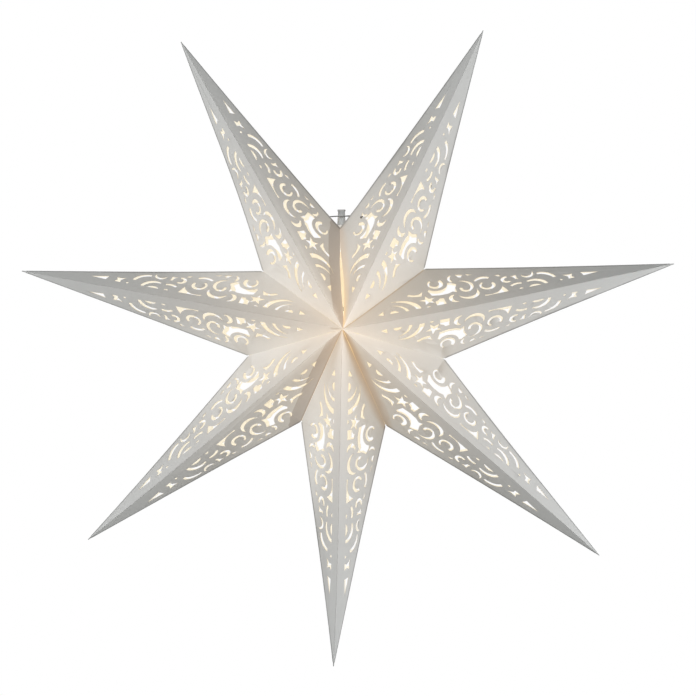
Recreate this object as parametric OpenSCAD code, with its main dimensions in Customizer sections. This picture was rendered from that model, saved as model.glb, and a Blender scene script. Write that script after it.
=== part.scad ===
// Hanging paper star with seven hollow points, cut with scrolls, crescents and stars,
// and lit from inside by a lamp that hangs on its own short lead.
// Millimetres. X runs to the right, Y to the back, Z up. The origin is the mouth of the
// cord grip's bore, which is the point that the lantern hangs from.

/* [Star] */
// Centre of the star to the tip of a point
star_radius = 315; // [250:1:400]
// Centre of the star to the inner corner between two points
valley_radius = 96; // [80:1:115]
// Middle plane of the star to its front or back centre
half_depth = 80; // [60:1:100]
// Direction of the lowest point, turned from +X towards +Z
lowest_point_angle = -92.3; // [-95:0.1:-87]
// Angle from the lowest point to the lower right one
gap_lower_right = 50.5; // [49:0.1:54]
// Angle from the lower right point to the right one
gap_right = 53.1; // [49:0.1:54]
// Angle from the right point to the top right one
gap_top_right = 54.5; // [49:0.1:55]
// Angle between neighbouring points on the left side
gap_left = 49.3; // [48:0.1:52]

/* [Card] */
// Thickness of the card
card_t = 0.4; // [0.3:0.05:0.6]
// Radius of the pressed fold along a ridge or an edge
fold_r = 0.35; // [0.32:0.01:0.5]
// Width of a glue flange
flange_w = 8.5; // [5:0.5:10]
// Gap between the card faces of a glued flange
glue_gap = 0.15; // [0.1:0.05:0.3]
// Gap between the cut edges of two points in a glued valley
valley_gap = 0.3; // [0.2:0.05:0.5]
// Width of the open slit at the top, where the star is closed
seam_gap = 2.6; // [2:0.1:4]
// Radius of the open spot where all points meet at the front and the back
apex_gap = 2.5; // [2:0.1:4]
// Length of a point's pinched tip
pinch_l = 7; // [5:0.5:10]
// Radius of the pinched tip where it opens into the four panels
pinch_r = 1.2; // [0.9:0.1:1.5]
// Uncut strip that is left round each panel at the least
panel_margin = 4; // [3:0.5:6]

/* [Hanger] */
// Thickness of the steel hanger wire
wire_d = 1; // [0.8:0.1:1.4]
// Play of the wire in the holes that it goes through in the card, all round
hole_play = 0.9; // [0.6:0.1:1.3]
// Play of the wire in the eye of the cord grip, all round
eye_play = 0.1; // [0.05:0.05:0.3]
// Height of the wire above the top corner of the star
wire_rise = 13; // [11:0.5:16]
// Mouth of the cord grip down to the wire
wire_drop = 6.4; // [5:0.2:8]
// Inner corner to the wire's back hole in the top left point, along its edge
left_hole_along = 18; // [16:0.5:22]
// Inner corner to the wire's back hole in the top right point, along its edge
right_hole_along = 20; // [17:0.5:23]
// Edge to the wire's back holes, on the panel
back_hole_in = 5; // [4:0.5:7]
// Inner corner to the wire's front hole in the top right point, along its edge
front_hole_along = 20; // [18:0.5:24]
// Edge to the wire's front hole, on the panel
front_hole_in = 11.5; // [9:0.5:13]
// Length of the wire's bent end past the front hole
wire_end = 4; // [2:0.5:6]
// Length of the wire's hidden end inside the top left point
wire_tail = 7; // [5:0.5:10]

/* [Cord grip] */
// Height of the clear cord grip
grip_h = 14.8; // [13:0.2:17]
// Radius of the grip's neck
grip_r = 3.45; // [3.3:0.05:3.8]
// Radius of the collar round the grip's mouth
grip_collar_r = 4; // [3.7:0.1:4.6]
// Height of that collar
grip_collar_h = 1.5; // [1:0.1:2]
// Radius of the grip's flared foot
grip_foot_r = 4.3; // [4:0.1:4.8]
// Radius of the bore that a flex from above seats in
flex_bore_r = 2.75; // [2.6:0.05:2.9]
// Depth of that bore
flex_bore_l = 5; // [4:0.5:6]
// Width of the eye in front of the grip, along the wire
eye_w = 5; // [4:0.5:6]
// Wall of plastic round the wire in the eye
eye_wall = 1; // [0.8:0.1:1.4]

/* [Inner lead] */
// Radius of the white lead that carries the lamp holder
lead_r = 2.5; // [2.3:0.05:2.55]
// Play of the lead in the bores that hold it
lead_play = 0.04; // [0.02:0.01:0.08]
// Mouth of the cord grip to the top of the lamp holder
lead_drop = 40.4; // [38:0.2:46]
// Radius of an insulated core
core_r = 0.95; // [0.8:0.05:1.1]
// Largest swing of the star that the slot for the lead allows
swing_limit = 6; // [4:0.5:8]
// Play of the lead in that slot
slot_play = 0.6; // [0.3:0.1:1]

/* [Lamp holder] */
// Outer radius of the lamp holder
holder_r = 14; // [13:0.1:15]
// Wall of the lamp holder
holder_wall = 1.8; // [1.5:0.1:2.2]
// Height of the cap over the terminals
cap_h = 16; // [15:0.5:18]
// Radius of the neck on the cap
cap_neck_r = 6.2; // [6:0.1:7]
// Height of that neck
cap_neck_h = 6; // [5:0.5:7]
// Radius of the rounding on the cap's shoulder
cap_round = 6; // [4:0.5:7]
// Length of the barrel below the cap
barrel_h = 36; // [34:0.5:40]
// Height of the spigot that centres the cap in the barrel
spigot_h = 3; // [2:0.5:4]
// Height of the ceramic insert
insert_h = 9.5; // [8:0.5:11]
// Height of the ledge in the barrel that the insert rests on
ledge_h = 2; // [1.5:0.5:3]
// Play between the parts of the lamp holder
holder_play = 0.1; // [0.05:0.05:0.2]
// Radius of the nylon screw that clamps the lead
clamp_screw_r = 1.8; // [1.5:0.1:2]
// Width of a terminal block
terminal_w = 4.4; // [4:0.1:5]
// Height of a terminal block
terminal_h = 5.5; // [5:0.1:6]
// Lamp axis to the middle of a terminal block
terminal_x = 7; // [6.5:0.1:7.5]
// Radius of a terminal screw
terminal_screw_r = 1.1; // [0.9:0.1:1.3]

/* [Bulb] */
// Inner radius of the contact shell in the lamp holder
shell_r = 7.1; // [7:0.05:7.3]
// Wall of the contact shell
shell_wall = 0.5; // [0.4:0.05:0.7]
// Length of the contact shell
shell_l = 19.5; // [18:0.5:21]
// Play of the bulb's cap in the contact shell
bulb_play = 0.2; // [0.15:0.05:0.3]
// Length of the bulb's metal cap
bulb_cap_l = 21; // [19:0.5:23]
// Radius of the solder tip
tip_r = 2.4; // [2:0.1:2.8]
// Height of the solder tip
tip_h = 1.8; // [1.5:0.1:2.2]
// Height of the black glass round the tip
insulator_h = 2.2; // [2:0.1:3]
// Radius of the glass globe
globe_r = 22.5; // [20:0.5:23.5]
// Wall of the glass globe
globe_wall = 0.8; // [0.6:0.1:1.2]
// Tip of the bulb's contact to the far end of the globe
bulb_l = 77.5; // [74:0.5:80]
// Number of light filaments
filament_n = 4; // [2:1:6]
// Length of a light filament
filament_l = 20; // [16:1:24]

/* [Hidden] */
$fn = 48;
tiny = 0.01;
cut = 1;

// Points are counted from the lowest one, counter-clockwise as seen from the front.
bottom = 0;
lower_right = 1;
right = 2;
top_right = 3;
top_left = 4;
left = 5;
lower_left = 6;
point_n = 7;
front = -1;
back = 1;
clockwise = -1;
counter = 1;

right_turns = [
    0, gap_lower_right, gap_lower_right + gap_right, gap_lower_right + gap_right + gap_top_right
];
function tip_angle(i) = lowest_point_angle
    + (i <= top_right ? right_turns[i] : 360 - (point_n - i) * gap_left);
// Direction of the inner corner between point i and the next one
function corner_angle(i) = i == lower_left
    ? (tip_angle(i) + tip_angle(bottom) + 360) / 2
    : (tip_angle(i) + tip_angle(i + 1)) / 2;
function ring(r, a) = [r * cos(a), 0, r * sin(a)];

// The middle plane of the star holds the wire, so that the star hangs upright on it.
wire_r = wire_d / 2;
eye_r = wire_r + eye_play;
wire_y = -(flex_bore_r + eye_wall + eye_r);
wire_z = -wire_drop;
top_corner_angle = corner_angle(top_right);
star_x = -valley_radius * cos(top_corner_angle);
star_z = wire_z - wire_rise - valley_radius * sin(top_corner_angle);
star_centre = [star_x, wire_y, star_z];
top_corner = star_centre + ring(valley_radius, top_corner_angle);

function apex(face) = star_centre + [0, face * half_depth, 0];
function tip(i) = star_centre + ring(star_radius, tip_angle(i));
function corner(i, side) = star_centre
    + ring(valley_radius, corner_angle(side == counter ? i : (i + point_n - 1) % point_n));
function unit(v) = v / norm(v);

// A panel's own axes: along its ridge, across it in the panel, and out of the star
function along(i, face) = unit(tip(i) - apex(face));
function outward(i, side, face) = let (
    n = unit(cross(along(i, face), corner(i, side) - apex(face)))
) n.y * face > 0 ? n : -n;
function across(i, side, face) = cross(outward(i, side, face), along(i, face));
function flat(p, i, side, face) = [
    (p - apex(face)) * along(i, face), (p - apex(face)) * across(i, side, face)
];

ridge_l = norm([star_radius, half_depth]);
valley_l = norm([valley_radius, half_depth]);
flange_step = card_t + glue_gap;
flange_lap = card_t / 2 + flange_step;
flange_start = 10;
flange_end = valley_l - 5;
corner_cut_r = 1;
tip_cut_r = 2.5;
fold_inset = 0.7;
fold_stop = 4;

// The lead goes through a slot in the two back panels at the top corner. Its width is
// measured from the corner, and its depth from the star's middle plane. The star swings on
// the wire, and the slot's far end lies lower than the corner, so it moves further.
slot_w = lead_r + slot_play;
swing_slope = tan(swing_limit);
slot_depth = (slot_w - wire_y + wire_rise * swing_slope)
    / (1 - swing_slope * valley_radius / half_depth);
hem_stop = 5;
function hem_end(face) = (face == back ? valley_l * (1 - slot_depth / half_depth) : valley_l)
    - hem_stop;

// The cut-outs are drawn on a ridge of this length and scaled with the star.
drawn_ridge = 325;
pattern_scale = ridge_l / drawn_ridge;

module wedge(c, a0, a1, reach) {
    steps = 4;
    polygon(concat([c], [
        for (k = [0 : steps]) let (a = a0 + (a1 - a0) * k / steps)
            c + reach * [cos(a), sin(a)]
    ]));
}

// Crescent that is thickest towards dir and runs out 90 degrees to each side
module crescent(c, r, thick, dir) {
    difference() {
        translate(c) circle(r);
        translate(c - thick * [cos(dir), sin(dir)]) circle(r);
    }
}

// Part of a crescent between two angles
module blade(c, r, thick, dir, a0, a1) {
    intersection() {
        crescent(c, r, thick, dir);
        wedge(c, a0, a1, 2 * r);
    }
}

// Curl: a ring that is open between two angles, with its hole set off centre
module curl(c, r, hole_r, shift, a0, a1) {
    difference() {
        translate(c) circle(r);
        translate(c + shift) circle(hole_r);
        wedge(c, a0, a1, 2 * r);
    }
}

// Upper half of a disc
module half_disc(c, r) {
    intersection() {
        translate(c) circle(r);
        translate(c - [r, 0]) square([2 * r, r]);
    }
}

module five_star(c, r, r_in, turn) {
    polygon([
        for (k = [0 : 9]) let (a = turn + 36 * k, q = k % 2 == 0 ? r : r_in)
            c + q * [cos(a), sin(a)]
    ]);
}

module cuts_near_centre() {
    polygon([[36.5, 12.5], [43, 17.5], [42, 11]]);
    half_disc([52.5, 11.8], 4);
    blade([52.5, 11.5], 14, 3.2, -8, 0, 90);
    blade([60.5, 13.5], 18, 5, 15, -4, 110);
    polygon([[72, 37.5], [74.5, 39.5], [79, 36.8], [83.5, 37], [88, 40], [85, 32.8],
        [80, 33.5], [76, 34.8]]);
    five_star([88.5, 23.5], 8.5, 3.4, 93);
    half_disc([85.5, 11.6], 2);
    polygon([[94, 12], [94.5, 19], [98.5, 20.5], [100.5, 23.3], [104.5, 22.5], [104, 12]]);
    blade([115.5, 18], 6.8, 4.2, 180, 80, 280);
    curl([105, 49], 8, 5, [-0.9, 0.7], 38, 122);
    difference() {
        polygon([[93.5, 40], [95, 30.5], [104, 28.3], [112, 28.6], [117, 30.6],
            [120.5, 27.8], [121, 35], [124.5, 42], [119.5, 46.5], [105, 48]]);
        translate([105, 49]) circle(12);
    }
}

module cuts_in_middle() {
    blade([124.3, 51], 5.5, 2.6, 180, 100, 240);
    polygon([[128, 56], [134.5, 53.5], [132, 50.5], [129.5, 51.5]]);
    polygon([[137.5, 53.5], [143.5, 50.5], [138.5, 51]]);
    crescent([128.8, 35.8], 10.2, 3.2, 0);
    curl([130.8, 31.6], 6.2, 3.4, [0, 0.3], -60, 150);
    blade([149.5, 34.5], 10.8, 3.2, 88, 45, 140);
    curl([151, 29.5], 7.6, 5, [-0.3, 0.6], 30, 118);
    crescent([130, 22.5], 10.2, 4.2, -75);
    difference() {
        polygon([[143, 12], [166, 12], [165, 17], [163, 24.5], [160, 21], [143, 16]]);
        translate([149, 28.3]) circle(15.2);
    }
    polygon([[162.5, 43], [166.5, 42.5], [168, 39.5], [165, 40.5]]);
    curl([171, 32.5], 5.6, 3.1, [0.8, 0], -60, 70);
    polygon([[175.5, 37.2], [178, 36.3], [181.5, 37], [181, 32], [182, 29.5], [179, 30.5],
        [178.2, 34]]);
}

module cuts_near_tip() {
    crescent([192, 34.5], 6, 3, -85);
    blade([177.5, 13.5], 10.2, 2.8, 100, 60, 135);
    half_disc([178.5, 11.8], 2);
    blade([193, 12.5], 11.8, 4, 45, -2, 120);
    intersection() {
        translate([192, 7.5]) circle(7.5);
        translate([180, 11.8]) square([24, 6]);
    }
    blade([202, 19], 14, 3.6, 40, 5, 95);
    polygon([[222, 21], [226, 19.3], [231.5, 19.5], [229.5, 15.5], [231.5, 11.8],
        [225.3, 11.8], [226, 15.5]]);
    translate([218.3, 12.8]) circle(1.2);
    polygon([[239.5, 19], [256, 13.5], [240.5, 12.3]]);
}

module cutouts() {
    scale(pattern_scale) {
        cuts_near_centre();
        cuts_in_middle();
        cuts_near_tip();
    }
}

// Triangle moved inwards by the same distance on its three sides
function inset(p, d) = let (
    a = norm(p[1] - p[2]), b = norm(p[2] - p[0]), c = norm(p[0] - p[1]),
    mid = (a * p[0] + b * p[1] + c * p[2]) / (a + b + c),
    area = abs(cross(p[1] - p[0], p[2] - p[0])) / 2,
    r_in = 2 * area / (a + b + c)
) [for (q = p) mid + (q - mid) * (1 - d / r_in)];

function panel_corners(i, side, face) = [
    [0, 0], flat(tip(i), i, side, face), flat(corner(i, side), i, side, face)
];

// Strip along a valley, from distance s0 to s1 from the apex, between two distances from
// the valley line, with its ends cut on a slant
function strip(p, s0, s1, w0, w1, slant) = let (
    v = unit(p[2]), n = unit(p[1] - v * (p[1] * v))
) [
    v * s0 + n * w0, v * (s0 + slant) + n * w1, v * (s1 - slant) + n * w1, v * s1 + n * w0
];

function at_seam(i, side) = (i == top_right && side == counter)
    || (i == top_left && side == clockwise);
function has_flange(i, side) = side == clockwise && i != top_left;
function trim(i, side) = at_seam(i, side) ? seam_gap / 2
    : has_flange(i, side) ? 0
    : card_t / 2 + valley_gap;

module on_panel(i, side, face, step = 0) {
    x = along(i, face);
    y = across(i, side, face);
    z = outward(i, side, face);
    o = apex(face) - z * step;
    multmatrix([
        [x.x, y.x, z.x, o.x], [x.y, y.y, z.y, o.y], [x.z, y.z, z.z, o.z], [0, 0, 0, 1]
    ]) linear_extrude(card_t, center = true) children();
}

// Where the wire goes through a panel: a distance along its edge and one in from it
function wire_point(i, side, face, s, q) = let (
    c = corner(i, side), e = unit(tip(i) - c), n = cross(outward(i, side, face), e),
    inward = n * (apex(face) - c) > 0 ? n : -n
) c + e * s + inward * q;
left_hole = wire_point(top_left, clockwise, back, left_hole_along, back_hole_in);
right_hole = wire_point(top_right, counter, back, right_hole_along, back_hole_in);
front_hole = wire_point(top_right, counter, front, front_hole_along, front_hole_in);

function wire_holes(i, side, face) =
    i == top_left && side == clockwise && face == back ? [left_hole]
    : i == top_right && side == counter && face == back ? [right_hole]
    : i == top_right && side == counter && face == front ? [front_hole]
    : [];

// Point on a back panel at a distance to the side of the top corner and one in depth
function slot_point(i, side, dx, dy) = let (
    n = outward(i, side, back), a = apex(back),
    x = top_corner.x + side * dx, y = top_corner.y + dy
) flat([x, y, a.z - (n.x * (x - a.x) + n.y * (y - a.y)) / n.z], i, side, back);

module panel_outline(i, side, face) {
    p = panel_corners(i, side, face);
    difference() {
        polygon(p);
        if (trim(i, side) > 0)
            polygon(strip(p, -valley_l, 2 * valley_l, -valley_l, trim(i, side), 0));
        circle(apex_gap);
        translate(p[1]) circle(tip_cut_r);
        translate(p[2]) circle(corner_cut_r);
        if (at_seam(i, side) && face == back) polygon([
            p[2] * 1.1, slot_point(i, side, -slot_w, slot_depth),
            slot_point(i, side, slot_w, slot_depth), slot_point(i, side, slot_w, -slot_depth)
        ]);
    }
    if (has_flange(i, side)) polygon(strip(p, flange_start, flange_end, tiny, -flange_lap, 0));
}

module panel(i, side, face) {
    p = panel_corners(i, side, face);
    on_panel(i, side, face) difference() {
        panel_outline(i, side, face);
        intersection() {
            mirror([0, p[2].y > 0 ? 0 : 1]) cutouts();
            polygon(inset(p, panel_margin));
        }
        for (h = wire_holes(i, side, face))
            translate(flat(h, i, side, face)) circle(wire_r + hole_play);
    }
}

// Round rod between two points, turned so that its side line lies off the star's planes
rod_turn = 40;
module rod(p0, p1, r) {
    d = p1 - p0;
    translate(p0) rotate([0, acos(d.z / norm(d)), atan2(d.y, d.x)]) rotate(rod_turn)
        cylinder(h = norm(d), r = r);
}

// Glue flange of one point, under the panel of the point before it
module flange(i, face) {
    before = (i + point_n - 1) % point_n;
    p = panel_corners(before, counter, face);
    on_panel(before, counter, face, flange_step)
        polygon(strip(p, flange_start, flange_end, -card_t * 0.75, flange_w, flange_w));
}

// Folded-back hem along the closing slit of the top left point, a little thick at its fold
hem_swell = 0.05;
module hem(face) {
    p = panel_corners(top_left, clockwise, face);
    v = unit(corner(top_left, clockwise) - apex(face));
    edge = apex(face) - outward(top_left, clockwise, face) * flange_step / 2
        + hem_side(face) * seam_gap / 2;
    on_panel(top_left, clockwise, face, flange_step)
        polygon(strip(p, flange_start, hem_end(face), trim(top_left, clockwise),
            flange_w + seam_gap / 2, flange_w));
    rod(edge + v * flange_start, edge + v * hem_end(face), (flange_step + card_t) / 2 + hem_swell);
}
function hem_side(face) = let (
    v = unit(corner(top_left, clockwise) - apex(face)),
    t = tip(top_left) - apex(face)
) unit(t - v * (t * v));

module point(i) {
    for (face = [front, back]) {
        rod(apex(face) + along(i, face) * (apex_gap - fold_inset),
            tip(i) - along(i, face) * fold_stop, fold_r);
        for (side = [clockwise, counter]) panel(i, side, face);
        if (has_flange(i, clockwise)) flange(i, face);
    }
    for (side = [clockwise, counter]) {
        c = corner(i, side);
        e = unit(tip(i) - c);
        rod(c + e * (corner_cut_r + fold_inset), tip(i) - e * fold_stop, fold_r);
    }
    pinched_tip(i);
}

// The last few millimetres of a point, where its four panels are pressed together
module pinched_tip(i) {
    a = tip_angle(i);
    translate(tip(i)) rotate([0, -90 - a, 0]) cylinder(h = pinch_l, r1 = fold_r, r2 = pinch_r);
}

module point_bottom() { color([0.90, 0.89, 0.87]) point(bottom); }
module point_lower_right() { color([0.90, 0.89, 0.87]) point(lower_right); }
module point_right() { color([0.90, 0.89, 0.87]) point(right); }
module point_top_right() { color([0.90, 0.89, 0.87]) point(top_right); }
module point_left() { color([0.90, 0.89, 0.87]) point(left); }
module point_lower_left() { color([0.90, 0.89, 0.87]) point(lower_left); }

module point_top_left() {
    color([0.90, 0.89, 0.87]) {
        point(top_left);
        for (face = [front, back]) hem(face);
    }
}

// Bends are a little thicker than the wire.
bend_swell = 1.08;
module wire_run(points) {
    for (k = [0 : len(points) - 2]) rod(points[k], points[k + 1], wire_r);
    for (k = [1 : len(points) - 2]) translate(points[k]) sphere(wire_r * bend_swell);
}

// Points on both sides of a hole, square to its panel
function beside(h, i, side, face) = [
    for (d = [1, -1]) h + outward(i, side, face) * d * (card_t / 2 + wire_d)
];

module hanger_wire() {
    straight_l = eye_w + 2 * wire_d;
    eye_left = [-straight_l / 2, wire_y, wire_z];
    eye_right = [straight_l / 2, wire_y, wire_z];
    left_ends = beside(left_hole, top_left, clockwise, back);
    right_ends = beside(right_hole, top_right, counter, back);
    front_ends = beside(front_hole, top_right, counter, front);
    tail = left_ends[1] + wire_tail * unit([-1, -0.6, 0.2]);
    end = front_ends[0] + wire_end * unit([0.8, -1, 0.1]);
    color([0.55, 0.55, 0.56]) wire_run([
        tail, left_ends[1], left_ends[0], eye_left, eye_right, right_ends[0], right_ends[1],
        front_ends[1], front_ends[0], end
    ]);
}

lead_top = -flex_bore_l;
grip_neck_l = 4;

module cord_grip() {
    eye_out = eye_r + eye_wall;
    color([0.85, 0.87, 0.88, 0.6]) difference() {
        union() {
            rotate_extrude() polygon([
                [0, 0], [grip_collar_r, 0], [grip_collar_r, -grip_collar_h],
                [grip_r, -grip_collar_h], [grip_r, -grip_neck_l - grip_collar_h],
                [grip_foot_r, -grip_h], [0, -grip_h]
            ]);
            translate([-eye_w / 2, wire_y, wire_z - eye_out]) cube([eye_w, -wire_y, 2 * eye_out]);
            translate([-eye_w / 2, wire_y, wire_z]) rotate([0, 90, 0])
                cylinder(h = eye_w, r = eye_out);
        }
        translate([0, 0, -flex_bore_l]) cylinder(h = flex_bore_l + cut, r = flex_bore_r);
        translate([0, 0, -grip_h - cut]) cylinder(h = grip_h, r = lead_r + lead_play);
        translate([-eye_w, wire_y, wire_z]) rotate([0, 90, 0])
            cylinder(h = 2 * eye_w, r = eye_r);
    }
}

// Levels of the lamp holder and the bulb, from the top down
cap_top = -lead_drop;
cap_base = cap_top - cap_h;
barrel_base = cap_base - barrel_h;
insert_top = cap_base - spigot_h - holder_play;
insert_base = insert_top - insert_h;
cap_ceiling = cap_top - cap_neck_h - holder_wall;
lead_base = cap_ceiling - 1;
inner_r = holder_r - holder_wall;
spigot_wall = 1.4;
clamp_z = cap_top - cap_neck_h / 2;
clamp_head = 0.6;
driver_slot = 0.6;
terminal_sink = 3;
terminal_base = insert_top - terminal_sink;
terminal_top = terminal_base + terminal_h;
screw_z = (insert_top + terminal_top) / 2;
recess_r = shell_r - 1.2;
recess_h = 2;
tongue_w = 3;
tongue_t = 0.4;
tongue_drop = 2.4;
tongue_x = recess_r - 1.2;
tongue_gap = 0.05;
shell_flange = 1;
ledge_r = shell_r + shell_wall + 1.3;
bulb_top = insert_base - tongue_drop - tongue_gap;
bulb_cap_top = bulb_top - tip_h - insulator_h;
bulb_cap_base = bulb_cap_top - bulb_cap_l;
bulb_r = shell_r - bulb_play;
bulb_cap_wall = 0.4;
globe_z = bulb_top - bulb_l + globe_r;
neck_r = bulb_r + 0.6;
stem_r = 1.6;
stem_flare = 5;
stem_top = bulb_cap_base - globe_wall;
stem_base = globe_z + 4;
filament_r = 0.8;
filament_lean = 16;

module inner_lead() {
    color([0.93, 0.93, 0.92]) translate([0, 0, lead_base])
        cylinder(h = lead_top - lead_base, r = lead_r);
}

module core(side) {
    start = [side * core_r * 1.15, 0, lead_base];
    knee = start - [0, 0, core_r];
    turn = [side * terminal_x, 0, terminal_top + core_r * 1.5];
    rod(start, knee, core_r);
    rod(knee, turn, core_r);
    rod(turn, [turn.x, 0, terminal_top], core_r);
    for (p = [knee, turn]) translate(p) sphere(core_r + tiny);
}
module live_core() { color([0.45, 0.28, 0.18]) core(-1); }
module neutral_core() { color([0.20, 0.35, 0.65]) core(1); }

module holder_cap() {
    color([0.93, 0.93, 0.91]) difference() {
        union() {
            rotate_extrude() union() {
                translate([0, cap_base]) square([holder_r, cap_h - cap_neck_h - cap_round]);
                translate([0, cap_base]) square([holder_r - cap_round, cap_h - cap_neck_h]);
                intersection() {
                    translate([holder_r - cap_round, cap_top - cap_neck_h - cap_round])
                        circle(cap_round);
                    translate([0, cap_base]) square([holder_r, cap_h]);
                }
                translate([0, cap_base]) square([cap_neck_r, cap_h]);
            }
            translate([0, 0, cap_base - spigot_h])
                cylinder(h = spigot_h + tiny, r = inner_r - holder_play);
        }
        translate([0, 0, cap_base - spigot_h - cut])
            cylinder(h = cap_ceiling - cap_base + spigot_h + cut - cap_round / 2,
                r = inner_r - holder_play - spigot_wall);
        translate([0, 0, cap_base]) cylinder(h = cap_ceiling - cap_base, r = holder_r - cap_round);
        translate([0, 0, cap_base]) cylinder(h = cap_h + cut, r = lead_r + lead_play);
        translate([0, 0, clamp_z]) rotate([-90, 0, 0])
            cylinder(h = holder_r, r = clamp_screw_r + holder_play);
    }
}

module clamp_screw() {
    screw_l = cap_neck_r - lead_r + clamp_head;
    color([0.88, 0.88, 0.86]) translate([0, lead_r + lead_play, clamp_z])
        rotate([-90, 0, 0]) difference() {
            cylinder(h = screw_l, r = clamp_screw_r);
            translate([-clamp_screw_r, -driver_slot / 2, screw_l - driver_slot])
                cube([2 * clamp_screw_r, driver_slot, driver_slot + cut]);
        }
}

module holder_insert() {
    space = terminal_w + 2 * holder_play;
    color([0.90, 0.89, 0.86]) difference() {
        translate([0, 0, insert_base]) cylinder(h = insert_h, r = inner_r - holder_play);
        for (side = [-1, 1])
            translate([side * terminal_x - space / 2, -space / 2, terminal_base])
                cube([space, space, terminal_h]);
        translate([0, 0, insert_base - cut]) cylinder(h = recess_h + cut, r = recess_r);
    }
}

module terminal(side) {
    color([0.80, 0.66, 0.35]) difference() {
        translate([side * terminal_x - terminal_w / 2, -terminal_w / 2, terminal_base])
            cube([terminal_w, terminal_w, terminal_h]);
        translate([side * terminal_x, -terminal_w, screw_z]) rotate([-90, 0, 0])
            cylinder(h = terminal_w, r = terminal_screw_r + holder_play / 2);
    }
}
module live_terminal() { terminal(-1); }
module neutral_terminal() { terminal(1); }

module terminal_screws() {
    head = 0.8;
    color([0.75, 0.75, 0.74]) for (side = [-1, 1])
        translate([side * terminal_x, -terminal_w / 2 - head, screw_z]) rotate([-90, 0, 0])
            cylinder(h = head + terminal_w / 2 - tiny, r = terminal_screw_r);
}

module centre_contact() {
    foot = insert_base + recess_h;
    translate([-tongue_x, -tongue_w / 2, 0]) color([0.82, 0.68, 0.38]) {
        translate([0, 0, foot - tongue_t]) cube([tongue_x / 2, tongue_w, tongue_t]);
        translate([0, 0, insert_base - tongue_drop])
            cube([tongue_t, tongue_w, tongue_drop + recess_h]);
        translate([0, 0, insert_base - tongue_drop])
            cube([tongue_x + tip_r, tongue_w, tongue_t]);
    }
}

module contact_shell() {
    out = shell_r + shell_wall;
    color([0.82, 0.68, 0.38]) difference() {
        union() {
            translate([0, 0, insert_base - shell_l]) cylinder(h = shell_l, r = out);
            translate([0, 0, insert_base - shell_wall])
                cylinder(h = shell_wall, r = out + shell_flange);
        }
        translate([0, 0, insert_base - shell_l - cut])
            cylinder(h = shell_l + 2 * cut, r = shell_r);
    }
}

module holder_barrel() {
    color([0.93, 0.93, 0.91]) difference() {
        translate([0, 0, barrel_base]) cylinder(h = barrel_h, r = holder_r);
        translate([0, 0, insert_base]) cylinder(h = barrel_h, r = inner_r);
        translate([0, 0, barrel_base - cut])
            cylinder(h = insert_base - ledge_h - barrel_base + cut, r = inner_r);
        translate([0, 0, barrel_base]) cylinder(h = barrel_h, r = ledge_r);
    }
}

module bulb_tip() {
    color([0.75, 0.75, 0.74]) translate([0, 0, bulb_top - tip_h])
        cylinder(h = tip_h, r1 = tip_r, r2 = tip_r * 0.75);
}

module bulb_insulator() {
    color([0.10, 0.10, 0.11]) translate([0, 0, bulb_cap_top])
        cylinder(h = insulator_h, r1 = bulb_r - bulb_cap_wall, r2 = tip_r);
}

module bulb_cap() {
    color([0.78, 0.78, 0.77]) translate([0, 0, bulb_cap_base]) difference() {
        cylinder(h = bulb_cap_l, r = bulb_r);
        translate([0, 0, -cut])
            cylinder(h = bulb_cap_l + cut - bulb_cap_wall, r = bulb_r - bulb_cap_wall);
    }
}

// Half outline of the globe and its neck, moved inwards by d
module globe_half(d) {
    intersection() {
        union() {
            translate([0, globe_z]) circle(globe_r - d);
            translate([0, globe_z]) square([neck_r - d, bulb_cap_base - globe_z - d]);
        }
        translate([0, globe_z - globe_r]) square([2 * globe_r, 4 * globe_r]);
    }
}

module bulb_globe() {
    color([0.97, 0.96, 0.93]) rotate_extrude() difference() {
        globe_half(0);
        globe_half(globe_wall);
    }
}

module bulb_stem() {
    color([0.88, 0.90, 0.90]) {
        translate([0, 0, stem_base]) cylinder(h = stem_top - stem_base, r = stem_r);
        translate([0, 0, stem_top - stem_flare])
            cylinder(h = stem_flare, r1 = stem_r, r2 = neck_r - globe_wall - 1);
    }
}

module light_filaments() {
    color([0.98, 0.86, 0.45]) for (k = [0 : filament_n - 1]) rotate(k * 360 / filament_n)
        translate([stem_r + 1, 0, stem_base + 2]) rotate([0, 180 - filament_lean, 0])
            cylinder(h = filament_l, r = filament_r);
}

cord_grip();
hanger_wire();
inner_lead();
live_core();
neutral_core();
holder_cap();
clamp_screw();
holder_insert();
live_terminal();
neutral_terminal();
terminal_screws();
centre_contact();
contact_shell();
holder_barrel();
bulb_tip();
bulb_insulator();
bulb_cap();
bulb_globe();
bulb_stem();
light_filaments();
point_bottom();
point_lower_right();
point_right();
point_top_right();
point_top_left();
point_left();
point_lower_left();
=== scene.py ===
"""Looks of a hanging paper star lantern: cut and folded card, wire hanger, lead and lamp."""

import logging
import math
from dataclasses import dataclass, field
from enum import Enum

import bpy
import numpy as np
from mathutils import Matrix, Vector, noise


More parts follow.
